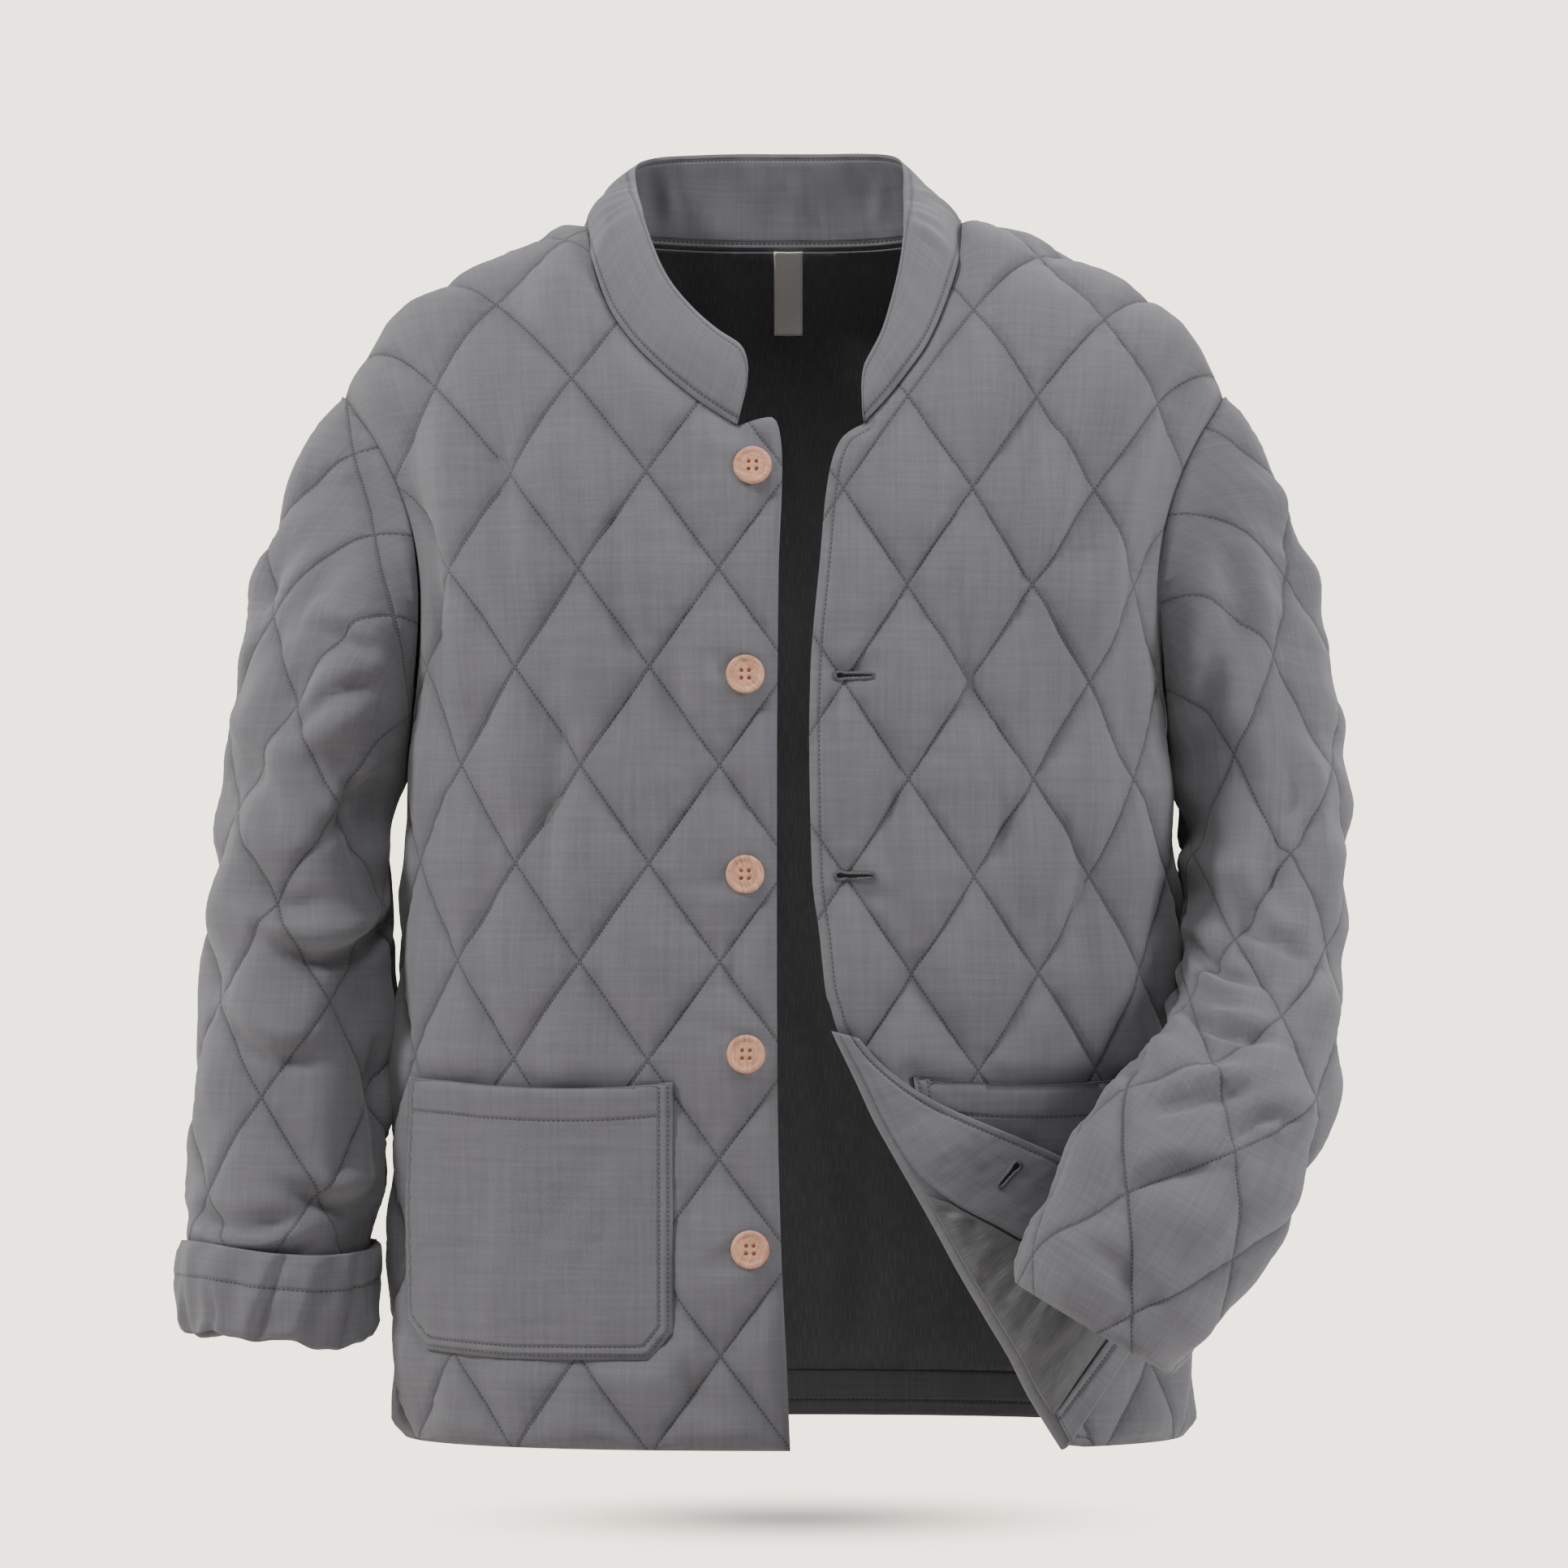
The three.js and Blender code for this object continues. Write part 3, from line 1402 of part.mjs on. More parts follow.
const labelRows = { outer: [], inner: [] };
for (let i = 0; i <= 8; i += 1) {
  const z = mix(-17, -60, i / 8);
  const row = (off) => [-6, 2.5, 11].map((x) => {
    const [u, v] = clothAt(x, z, false);
    return add(bodyPoint(u, v), bodyNormal(u, v), off);
  });
  labelRows.outer.push(row(-liningNear - 2.6));
  labelRows.inner.push(row(-liningNear - 2.0));
}
jacket.add(gridSolid(labelRows.inner, labelRows.outer).mesh("neck_label", paleTape));

// The turned corner lies on the front: its cloth, then the facing, lining and turned-up hem.
const foldStart = foldLine.slice(1);
const turnedStart = [{ x: 42, z: -475 }, ...turnedEdge.slice(2)];
const cornerBase = ruledSolid(foldStart, turnedStart, {
  along: 19, across: 7, outerOff: 8.0, innerOff: 4.8, margin: [0, 0], lip: true,
});
jacket.add(cornerBase.mesh("front_left_turned", greyCloth));
const facingStart = [...foldLine.slice(1, 5), ...facingSeam.slice(1)];
const facing = ruledSolid(facingStart, turnedStart, {
  along: 19, across: 4, outerOff: 9.9, innerOff: 8.6, margin: [0.02, 0], lip: false,
});
jacket.add(facing.mesh("facing_left", greyCloth));
const liningEdge = [{ x: 79, z: -564 }, ...foldLine.slice(5, 11)];
const liningSeam = [{ x: 93, z: -569 }, ...facingSeam.slice(2)];
const cornerLining = ruledSolid(liningEdge, liningSeam, {
  along: 13, across: 4, outerOff: 9.6, innerOff: 8.6, margin: [0.01, 0.03], lip: false,
});
jacket.add(cornerLining.mesh("lining_left", darkLining));
const turnUpEdge = [{ x: 160, z: -706 }, { x: 188, z: -663 }, { x: 212, z: -629 }];
const cornerTurnUp = ruledSolid(turnUpEdge, turnUpLine, {
  along: 9, across: 2, outerOff: 9.9, innerOff: 8.6, margin: [0, 0.06], lip: false,
});
jacket.add(cornerTurnUp.mesh("hem_facing_left", greyCloth));

export default jacket;
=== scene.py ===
import math

import bmesh
import bpy
import numpy as np
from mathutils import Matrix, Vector
from mathutils.geometry import delaunay_2d_cdt


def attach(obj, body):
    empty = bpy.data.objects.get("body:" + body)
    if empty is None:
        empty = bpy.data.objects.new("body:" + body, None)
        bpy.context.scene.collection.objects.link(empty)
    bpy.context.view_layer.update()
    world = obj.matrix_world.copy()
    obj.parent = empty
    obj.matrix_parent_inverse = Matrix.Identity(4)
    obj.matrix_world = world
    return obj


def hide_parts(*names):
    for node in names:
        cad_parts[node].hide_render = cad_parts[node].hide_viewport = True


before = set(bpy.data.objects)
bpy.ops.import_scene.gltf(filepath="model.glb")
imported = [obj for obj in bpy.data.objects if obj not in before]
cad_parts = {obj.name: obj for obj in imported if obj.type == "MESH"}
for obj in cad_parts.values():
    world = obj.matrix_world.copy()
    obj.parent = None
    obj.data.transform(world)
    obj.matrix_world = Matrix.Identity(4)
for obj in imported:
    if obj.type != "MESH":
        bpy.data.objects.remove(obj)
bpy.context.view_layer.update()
scene = bpy.context.scene

# Camera straight in front, as in the photograph
cameraView = {"distance": 5.2, "height": -0.3306, "viewWidth": 0.9177}


def addCamera():
    data = bpy.data.cameras.new("camera")
    data.sensor_width = 36
    data.lens = 36 * cameraView["distance"] / cameraView["viewWidth"]
    data.clip_end = 60
    camera = bpy.data.objects.new("camera", data)
    camera.location = (0, -cameraView["distance"], cameraView["height"])
    camera.rotation_euler = (math.pi / 2, 0, 0)
    scene.collection.objects.link(camera)
    scene.camera = camera


addCamera()
print("camera placed")

# The jacket's form, in millimetres. Cloth coordinates: u round the body from the centre
# front, v up from the hem. 300 is the side seam and 600 the centre back.
form = {"wall": 3.0, "seamGap": 0.3, "length": 710, "chest": -300, "quarter": 300,
        "ridgeDepth": 12, "ringPower": 2.5, "columnPower": 2.4, "ridgeSpread": 1.075,
        "shoulderTip": 241}
chestCloth = form["length"] + form["chest"]
quarter = form["quarter"]

# height, half width, front depth, back depth, shift
bodyRings = np.array([
    [-710, 229, 150, 148, 6], [-640, 231, 151, 150, 5.5], [-540, 229.5, 150, 149, 4.5],
    [-420, 225, 149, 147, 4], [-300, 221, 146, 144, 3]], float)
# distance from the middle, height of the shoulder line
ridge = np.array([
    [0, 0], [112, 0], [130, -8], [155, -19], [193, -38], [215, -50], [230, -61], [243, -78],
    [252, -91], [260, -105], [300, -150], [340, -180]], float)
# cloth distance from the middle, height over the chest
armholeRows = [(300, 0), (284, 4), (268, 14), (255, 31), (245, 53), (239, 78), (236, 104),
               (235, 131), (236, 156), (238, 180), (240, 199)]


def unit(a):
    return a / np.maximum(np.linalg.norm(a, axis=-1, keepdims=True), 1e-9)


def smoothStep(a, low=0.0, high=1.0):
    t = np.clip((a - low) / (high - low), 0, 1)
    return t * t * (3 - 2 * t)


def gauss(a):
    return np.exp(-a * a)


def makeQuarter():
    angle = np.linspace(0, math.pi / 2, 241)
    x = 226 * np.sin(angle) ** (2 / form["ringPower"])
    y = 148 * np.maximum(0, np.cos(angle)) ** (2 / form["ringPower"])
    length = np.concatenate([[0], np.cumsum(np.hypot(np.diff(x), np.diff(y)))])
    return length / length[-1], angle


quarterPart, quarterAngle = makeQuarter()


def ringPoints(u, z):
    z = z + 0 * u
    half, front, back, shift = (np.interp(z, bodyRings[:, 0], bodyRings[:, k]) for k in (1, 2, 3, 4))
    around = np.abs(u)
    onFront = around <= quarter
    part = np.where(onFront, around, 2 * quarter - around) / quarter
    sign = np.where(u < 0, -1, 1) * np.where(part < 0, -1, 1)
    angle = np.interp(np.clip(np.abs(part), 0, 1), quarterPart, quarterAngle)
    power = 2 / form["ringPower"]
    depth = np.maximum(0, np.cos(angle)) ** power
    return np.stack([shift + np.sin(angle) ** power * half * sign,
                     np.where(onFront, -depth * front, depth * back), z], -1)


columnAngle = np.linspace(0, math.pi / 2, 37)
columnRise = np.sin(columnAngle) ** (2 / form["columnPower"])
columnLean = np.maximum(0, np.cos(columnAngle)) ** (2 / form["columnPower"])


def columnTop(u):
    around = np.abs(u)
    fromMiddle = np.where(around <= quarter, around, 2 * quarter - around)
    x = np.where(u < 0, -1, 1) * fromMiddle * form["ridgeSpread"]
    return x, np.interp(np.abs(x), ridge[:, 0], ridge[:, 1])


def columnsAt(u):
    base = ringPoints(u, form["chest"])
    topX, topZ = columnTop(u)
    points = np.stack([
        base[:, :1] + (topX - base[:, 0])[:, None] * columnRise ** 2,
        form["ridgeDepth"] + (base[:, 1:2] - form["ridgeDepth"]) * columnLean,
        form["chest"] + (topZ - form["chest"])[:, None] * columnRise], -1)
    steps = np.linalg.norm(np.diff(points, axis=1), axis=-1)
    return points, np.concatenate([np.zeros((len(u), 1)), np.cumsum(steps, axis=1)], axis=1)


def plainPoints(u, v):
    u, v = np.broadcast_arrays(np.asarray(u, float), np.asarray(v, float))
    out = ringPoints(u, np.minimum(v, chestCloth) - form["length"])
    high = np.nonzero(v > chestCloth)[0]
    for part in np.array_split(high, max(1, len(high) // 15000 + 1)):
        if not len(part):
            continue
        points, lengths = columnsAt(u[part])
        along = np.clip(v[part] - chestCloth, 0, lengths[:, -1])
        k = np.clip((lengths < along[:, None]).sum(axis=1) - 1, 0, 35)
        row = np.arange(len(part))
        a, b = lengths[row, k], lengths[row, k + 1]
        t = ((along - a) / np.maximum(b - a, 1e-9))[:, None]
        out[part] = points[row, k] * (1 - t) + points[row, k + 1] * t
    return out


def topCloth(u):
    return chestCloth + columnsAt(np.atleast_1d(np.asarray(u, float)))[1][:, -1]


def slopeNormals(surface, u, v, top):
    step = 2
    low = np.minimum(v, top)
    high = np.minimum(v + step, top)
    across = surface(u + step, low) - surface(u - step, low)
    upward = surface(u, high) - surface(u, high - 2 * step)
    return unit(np.cross(across, upward))


def drape(u, v):
    around = np.abs(u)
    onFront = around <= quarter
    fromMiddle = np.where(onFront, around, 2 * quarter - around)
    window = gauss((v - chestCloth - 95) / 85)
    folds = 5 * gauss((fromMiddle - 196) / 20) - 9 * gauss((fromMiddle - 224) / 15)
    slack = 1.6 * np.sin(u / 47 + 1.1) * np.sin(v / 130 + 0.4)
    return np.where(onFront, 1, 0.6) * window * folds + slack


def bodyPoints(u, v):
    top = topCloth(u)
    normal = slopeNormals(plainPoints, u, v, top - 0.01)
    ease = np.clip((top - v) / 40, 0, 1)
    return plainPoints(u, v) + normal * (drape(u, v) * ease)[:, None]


def bodyNormals(u, v):
    top = topCloth(u)
    normal = slopeNormals(bodyPoints, u, v, top - 0.01)
    atTop = np.nonzero(top - v < 1.5)[0]
    if len(atTop):
        w = u[atTop]
        across = plainPoints(w + 2, topCloth(w + 2)) - plainPoints(w - 2, topCloth(w - 2))
        upright = np.zeros((len(w), 3))
        upright[:, 1] = np.where(np.abs(w) <= quarter, 1, -1)
        normal[atTop] = unit(np.cross(across, upright))
    return normal


def clothAt(x, z, onFront=True):
    x, z = np.broadcast_arrays(np.atleast_1d(np.asarray(x, float)), np.atleast_1d(np.asarray(z, float)))
    side = np.where(x < 0, -1, 1)
    low, high = np.zeros(len(x)), np.full(len(x), 0.985 * quarter)
    rise = None
    for _ in range(30):
        middle = (low + high) / 2
        u = side * (middle if onFront else 2 * quarter - middle)
        ring = ringPoints(u, np.minimum(z, form["chest"]))
        topX, topZ = columnTop(u)
        rise = np.clip((z - form["chest"]) / (topZ - form["chest"]), 0, 1)
        seen = ring[:, 0] + (topX - ring[:, 0]) * rise ** 2
        inside = np.abs(seen) < np.abs(x)
        low, high = np.where(inside, middle, low), np.where(inside, high, middle)
    points, lengths = columnsAt(u)
    angle = np.arcsin(np.clip(rise, 0, 1) ** (form["columnPower"] / 2))
    along = np.array([np.interp(a, columnAngle, row) for a, row in zip(angle, lengths)])
    v = np.where(z <= form["chest"], z + form["length"], chestCloth + along)
    return np.stack([u, v], -1)


def aroundBody(u):
    return np.where(u > 2 * quarter, u - 4 * quarter, u)


# Curves, outlines and fine meshes

def throughPoints(points, spacing=4.0):
    # A smooth line through the points; every given point stays in it
    p = np.asarray(points, float)
    out = []
    for k in range(len(p) - 1):
        a, b = p[k], p[k + 1]
        before, after = p[max(k - 1, 0)], p[min(k + 2, len(p) - 1)]
        size = np.linalg.norm(b - a)
        m = (b - before) / max(np.linalg.norm(a - before) + size, 1e-6) * size
        n = (after - a) / max(np.linalg.norm(after - b) + size, 1e-6) * size
        count = max(1, int(math.ceil(size / spacing)))
        t = (np.arange(count) / count)[:, None]
        cubic = 2 * t ** 3 - 3 * t ** 2 + 1
        out.append(cubic * a + (1 - cubic) * b + (t ** 3 - 2 * t ** 2 + t) * m + (t ** 3 - t ** 2) * n)
    return np.concatenate(out + [p[-1:]])


def straightPoints(points, spacing=4.0):
    p = np.asarray(points, float)
    out = []
    for a, b in zip(p[:-1], p[1:]):
        count = max(1, int(math.ceil(np.linalg.norm(b - a) / spacing)))
        out.append(a + (b - a) * (np.arange(count) / count)[:, None])
    return np.concatenate(out + [p[-1:]])


def joinRuns(runs):
    # Runs meet end to end; the last point of each is the first of the next
    return np.concatenate([np.asarray(run, float)[:-1] for run in runs])


def insideOutline(outline, points):
    a, b = outline, np.roll(outline, -1, axis=0)
    within = np.zeros(len(points), bool)
    for (ax, ay), (bx, by) in zip(a, b):
        crosses = (ay > points[:, 1]) != (by > points[:, 1])
        at = (bx - ax) * (points[:, 1] - ay) / ((by - ay) if by != ay else 1e-9) + ax
        within ^= crosses & (points[:, 0] < at)
    return within


def measureLine(line, points, closed=False):
    # Distance to a line, place along it, and side of it
    line = np.concatenate([line, line[:1]]) if closed else line
    best = np.full(len(points), 1e9)
    along, side = np.zeros(len(points)), np.zeros(len(points))
    start = 0.0
    for a, b in zip(line[:-1], line[1:]):
        d = b - a
        size = max(np.hypot(*d), 1e-9)
        t = np.clip(((points - a) @ d) / size ** 2, 0, 1)
        gap = points - (a + t[:, None] * d)
        distance = np.hypot(gap[:, 0], gap[:, 1])
        nearer = distance < best
        best = np.where(nearer, distance, best)
        along = np.where(nearer, start + t * size, along)
        side = np.where(nearer, np.sign(d[0] * gap[:, 1] - d[1] * gap[:, 0]), side)
        start += size
    return best, along, side


def latticeFill(outline, lattice, across=17, gap=1.7):
    # Points along the quilting lines, closer together beside each line
    low, high = outline.min(axis=0), outline.max(axis=0)
    corners = np.array([[x, y] for x in (low[0], high[0]) for y in (low[1], high[1])])
    s, t = quiltPlace(corners, lattice)
    part = np.arange(across) / across
    part = part - 0.3 * np.sin(2 * math.pi * part) / (2 * math.pi)
    lines = [np.concatenate([k + part for k in range(int(math.floor(a.min())), int(math.ceil(a.max())) + 1)])
             for a in (s, t)]
    gs, gt = (a.ravel() for a in np.meshgrid(*lines, indexing="ij"))
    points = np.stack([lattice["u"] + lattice["width"] * (gs + gt) / 2,
                       lattice["v"] + lattice["height"] * (gs - gt) / 2], -1)
    points = points[np.all((points > low) & (points < high), axis=1)]
    points = points[insideOutline(outline, points)]
    return points[measureLine(outline, points, True)[0] > gap]


def evenFill(outline, spacing=4.0, gap=1.7):
    low, high = outline.min(axis=0), outline.max(axis=0)
    rows = np.arange(low[1] + spacing / 2, high[1], spacing * 0.87)
    points = np.concatenate([
        np.stack([np.arange(low[0] + (k % 2) * spacing / 2, high[0], spacing),
                  np.full(len(np.arange(low[0] + (k % 2) * spacing / 2, high[0], spacing)), y)], -1)
        for k, y in enumerate(rows)])
    points = points[insideOutline(outline, points)]
    return points[measureLine(outline, points, True)[0] > gap]


def quiltPlace(points, lattice):
    a = (points[:, 0] - lattice["u"]) / lattice["width"]
    b = (points[:, 1] - lattice["v"]) / lattice["height"]
    return a + b, a - b


def flatMesh(outline, fill):
    count = len(outline)
    points = [Vector(p) for p in np.concatenate([outline, fill])]
    result = delaunay_2d_cdt(points, [], [list(range(count))], 1, 1e-5)
    flat = np.array([list(p) for p in result[0]])
    owner = {ids[0]: k for k, ids in enumerate(result[3]) if ids}
    border = [owner.get(k, -1) for k in range(count)]
    triangles = np.array([f for f in result[2] if len(f) == 3])
    a, b, c = (flat[triangles[:, k]] for k in range(3))
    turn = (b - a)[:, 0] * (c - a)[:, 1] - (b - a)[:, 1] * (c - a)[:, 0]
    triangles[turn < 0] = triangles[turn < 0][:, ::-1]
    return flat, triangles[np.abs(turn) > 1e-4], np.array([k for k in border if k >= 0])


def addMesh(name, vertices, faces, uvMaps=(), materials=(), faceMaterial=None):
    # vertices in millimetres; each UV map has one row per vertex
    mesh = bpy.data.meshes.new(name)
    mesh.from_pydata((np.asarray(vertices) / 1000).tolist(), [], [list(map(int, f)) for f in faces])
    loops = np.zeros(len(mesh.loops), np.int32)
    mesh.loops.foreach_get("vertex_index", loops)
    for label, rows in uvMaps:
        layer = mesh.uv_layers.new(name=label)
        layer.data.foreach_set("uv", np.asarray(rows, np.float32)[loops].ravel())
    for material in materials:
        mesh.materials.append(material)
    if faceMaterial is not None:
        mesh.polygons.foreach_set("material_index", np.asarray(faceMaterial, np.int32))
    mesh.polygons.foreach_set("use_smooth", np.ones(len(mesh.polygons), bool))
    mesh.validate()
    mesh.update()
    piece = bpy.data.objects.new(name, mesh)
    scene.collection.objects.link(piece)
    return piece


def turnedOut(vertices, faces):
    # Faces of a closed mesh, turned so that its volume is positive
    first = vertices[faces[:, 0]]
    volume = np.einsum("ij,ij->i", first, np.cross(vertices[faces[:, 1]], vertices[faces[:, 2]])).sum()
    return faces if volume > 0 else faces[:, ::-1]


def shellPiece(name, flat, triangles, border, outer, inner, uvMaps, materials, insidePaint=None, weld=None):
    count = len(flat)
    loop = np.stack([border, np.roll(border, -1)], -1)
    if weld is not None:
        keep = [not (weld[a] and weld[b]) for a, b in loop]
        loop = loop[keep]
    walls = np.concatenate([
        np.stack([loop[:, 1], loop[:, 0], loop[:, 0] + count], -1),
        np.stack([loop[:, 1], loop[:, 0] + count, loop[:, 1] + count], -1)])
    faces = np.concatenate([triangles, triangles[:, ::-1] + count, walls])
    vertices = np.concatenate([outer, inner])
    faces = turnedOut(vertices, faces)
    paint = np.zeros(len(faces), int)
    if insidePaint is not None:
        paint[len(triangles):2 * len(triangles)] = insidePaint
    maps = [(label, np.concatenate([rows, rows])) for label, rows in uvMaps]
    piece = addMesh(name, vertices, faces, maps, materials, paint)
    if weld is not None:
        data = bmesh.new()
        data.from_mesh(piece.data)
        bmesh.ops.remove_doubles(data, verts=data.verts, dist=2e-5)
        data.to_mesh(piece.data)
        data.free()
    return piece


def gridPiece(name, outer, inner, closedRound=False, uvMaps=(), materials=(), insidePaint=0):
    # outer and inner are rows of points; the rims join them
    rows, columns = outer.shape[:2]
    index = np.arange(rows * columns).reshape(rows, columns)
    if closedRound:
        index = np.concatenate([index, index[:1]])
    a, b, c, d = index[:-1, :-1], index[1:, :-1], index[1:, 1:], index[:-1, 1:]
    quads = np.stack([a, b, c, d], -1).reshape(-1, 4)
    size = rows * columns
    walls = []

    def rim(line):
        walls.append(np.stack([line[1:], line[:-1], line[:-1] + size, line[1:] + size], -1))

    rim(index[:, 0])
    rim(index[::-1, -1])
    if not closedRound:
        rim(index[0, ::-1])
        rim(index[-1, :])
    faces = np.concatenate([quads, quads[:, ::-1] + size] + walls)
    vertices = np.concatenate([outer.reshape(-1, 3), inner.reshape(-1, 3)])
    split = np.concatenate([faces[:, [0, 1, 2]], faces[:, [0, 2, 3]]])
    if turnedOut(vertices, split) is not split:
        faces = faces[:, ::-1]
    paint = np.zeros(len(faces), int)
    paint[len(quads):2 * len(quads)] = insidePaint
    maps = [(label, np.concatenate([r.reshape(-1, 2)] * 2)) for label, r in uvMaps]
    return addMesh(name, vertices, faces, maps, materials, paint)


def softNoise(points, wave, seed, stretch=(1, 1), count=14):
    # Smooth unevenness of about one wavelength, between -1 and 1
    pick = np.random.RandomState(seed)
    total = np.zeros(len(points))
    for _ in range(count):
        turn = pick.uniform(0, 2 * math.pi)
        size = 2 * math.pi / wave * pick.uniform(0.6, 1.5)
        total += np.sin(points[:, 0] * math.cos(turn) * size / stretch[0]
                        + points[:, 1] * math.sin(turn) * size / stretch[1] + pick.uniform(0, 2 * math.pi))
    return total / math.sqrt(count) * 0.8


def creaseRelief(points, creases):
    # Each crease: path in cloth coordinates, width and depth; a trough with a softer ridge beside it
    total = np.zeros(len(points))
    for crease in creases:
        path = throughPoints(crease["path"], 6)
        reach = crease["width"] * 4
        low, high = path.min(axis=0) - reach, path.max(axis=0) + reach
        near = np.nonzero(np.all((points > low) & (points < high), axis=1))[0]
        if not len(near):
            continue
        distance, along, side = measureLine(path, points[near])
        length = np.linalg.norm(np.diff(path, axis=0), axis=1).sum()
        taper = np.sin(math.pi * np.clip(along / length, 0.02, 0.98)) ** 0.6
        gap = distance * side * crease.get("side", 1)
        width = crease["width"]
        trough = gauss(gap / width)
        shoulder = gauss((gap - 1.9 * width) / (1.3 * width))
        total[near] += taper * crease["depth"] * (0.6 * shoulder - trough)
    return total

# Materials

def addNode(tree, kind, **values):
    node = tree.nodes.new(kind)
    for key, value in values.items():
        if key.startswith("in"):
            node.inputs[int(key[2:])].default_value = value
        else:
            setattr(node, key, value)
    return node


def maths(tree, operation, a, b=None, c=None):
    node = addNode(tree, "ShaderNodeMath", operation=operation)
    for k, value in enumerate((a, b, c)):
        if value is None:
            continue
        if isinstance(value, (int, float)):
            node.inputs[k].default_value = value
        else:
            tree.links.new(value, node.inputs[k])
    return node.outputs[0]


def scaled(tree, vector, factors):
    node = addNode(tree, "ShaderNodeVectorMath", operation="MULTIPLY")
    tree.links.new(vector, node.inputs[0])
    node.inputs[1].default_value = factors
    return node.outputs[0]


def noiseAt(tree, vector, factors, detail=2.0, roughness=0.5, offset=None):
    node = addNode(tree, "ShaderNodeTexNoise")
    node.inputs["Scale"].default_value = 1
    node.inputs["Detail"].default_value = detail
    node.inputs["Roughness"].default_value = roughness
    source = scaled(tree, vector, factors)
    if offset:
        shift = addNode(tree, "ShaderNodeVectorMath", operation="ADD")
        tree.links.new(source, shift.inputs[0])
        shift.inputs[1].default_value = offset
        source = shift.outputs[0]
    tree.links.new(source, node.inputs["Vector"])
    return node.outputs[0]


def mapped(tree, value, low, high, outLow=0.0, outHigh=1.0, smooth=False):
    node = addNode(tree, "ShaderNodeMapRange")
    if smooth:
        node.interpolation_type = "SMOOTHSTEP"
    tree.links.new(value, node.inputs[0])
    for k, number in enumerate((low, high, outLow, outHigh)):
        node.inputs[k + 1].default_value = number
    return node.outputs[0]


def blended(tree, factor, a, b):
    node = addNode(tree, "ShaderNodeMix", data_type="RGBA")
    for slot, value in ((0, factor), (6, a), (7, b)):
        if isinstance(value, (int, float, tuple)):
            node.inputs[slot].default_value = value
        else:
            tree.links.new(value, node.inputs[slot])
    return node.outputs[2]


def brightened(tree, colour, amount):
    node = addNode(tree, "ShaderNodeHueSaturation")
    tree.links.new(colour, node.inputs["Color"])
    tree.links.new(amount, node.inputs["Value"])
    return node.outputs[0]


def newGroup(name, inputs, outputs):
    tree = bpy.data.node_groups.new(name, "ShaderNodeTree")
    for label, kind, value in inputs:
        socket = tree.interface.new_socket(label, in_out="INPUT", socket_type=kind)
        if value is not None:
            socket.default_value = value
    for label, kind in outputs:
        tree.interface.new_socket(label, in_out="OUTPUT", socket_type=kind)
    return tree, tree.nodes.new("NodeGroupInput").outputs, tree.nodes.new("NodeGroupOutput").inputs


linen = {"threadPitch": 0.00115, "slubLength": 0.03, "slubWidth": 0.0009, "slubLight": 0.085,
         "strips": 0.3, "cloud": 0.06, "thread": 0.13}


def makeLinenGroup():
    tree, inside, out = newGroup("linen weave", [
        ("Cloth", "NodeSocketVector", None), ("Colour", "NodeSocketColor", (0.2, 0.2, 0.2, 1)),
        ("Slubs", "NodeSocketFloat", 1.0)],
        [("Colour", "NodeSocketColor"), ("Height", "NodeSocketFloat")])
    cloth = inside["Cloth"]
    split = addNode(tree, "ShaderNodeSeparateXYZ")
    tree.links.new(cloth, split.inputs[0])
    wobble = maths(tree, "MULTIPLY", noiseAt(tree, cloth, (160, 160, 0)), 0.0009)
    turns = 2 * math.pi / linen["threadPitch"]
    warp = maths(tree, "SINE", maths(tree, "MULTIPLY", maths(tree, "ADD", split.outputs[0], wobble), turns))
    weft = maths(tree, "SINE", maths(tree, "MULTIPLY", maths(tree, "ADD", split.outputs[1], wobble), turns))
    weave = maths(tree, "MULTIPLY", warp, weft)
    long, thin = 1 / linen["slubLength"], 1 / linen["slubWidth"]
    across = noiseAt(tree, cloth, (long, thin, 0), 3.0, 0.6)
    upward = noiseAt(tree, cloth, (thin, long, 0), 3.0, 0.6, (7.3, 2.1, 0))
    slubs = maths(tree, "ADD", mapped(tree, across, 0.56, 0.78), mapped(tree, upward, 0.56, 0.78))
    strips = maths(tree, "ADD", noiseAt(tree, cloth, (14, 420, 0), 2.0, 0.5, (1.2, 5.5, 0)),
                   noiseAt(tree, cloth, (420, 14, 0), 2.0, 0.5, (4.2, 0.5, 0)))
    nep = mapped(tree, noiseAt(tree, cloth, (650, 900, 0), 0.0, 0.5, (3.1, 9.0, 0)), 0.80, 0.90)
    cloud = noiseAt(tree, cloth, (26, 19, 0), 3.0, 0.55)
    light = maths(tree, "MULTIPLY", maths(tree, "MULTIPLY", slubs, inside["Slubs"]), linen["slubLight"] * 2)
    strips = maths(tree, "MULTIPLY", maths(tree, "SUBTRACT", strips, 1.0), linen["strips"])
    light = maths(tree, "ADD", light, strips)
    light = maths(tree, "ADD", light, maths(tree, "MULTIPLY", weave, linen["thread"]))
    cloud = maths(tree, "MULTIPLY", maths(tree, "SUBTRACT", cloud, 0.5), linen["cloud"] * 2)
    light = maths(tree, "ADD", light, cloud)
    light = maths(tree, "ADD", light, maths(tree, "MULTIPLY", nep, 0.45))
    light = maths(tree, "ADD", light, 0.93)
    tree.links.new(brightened(tree, inside["Colour"], light), out["Colour"])
    height = maths(tree, "ADD", maths(tree, "MULTIPLY", weave, 0.5), maths(tree, "MULTIPLY", slubs, 1.2))
    height = maths(tree, "ADD", height, maths(tree, "MULTIPLY", noiseAt(tree, cloth, (900, 900, 0), 1.0), 0.8))
    tree.links.new(height, out["Height"])
    return tree


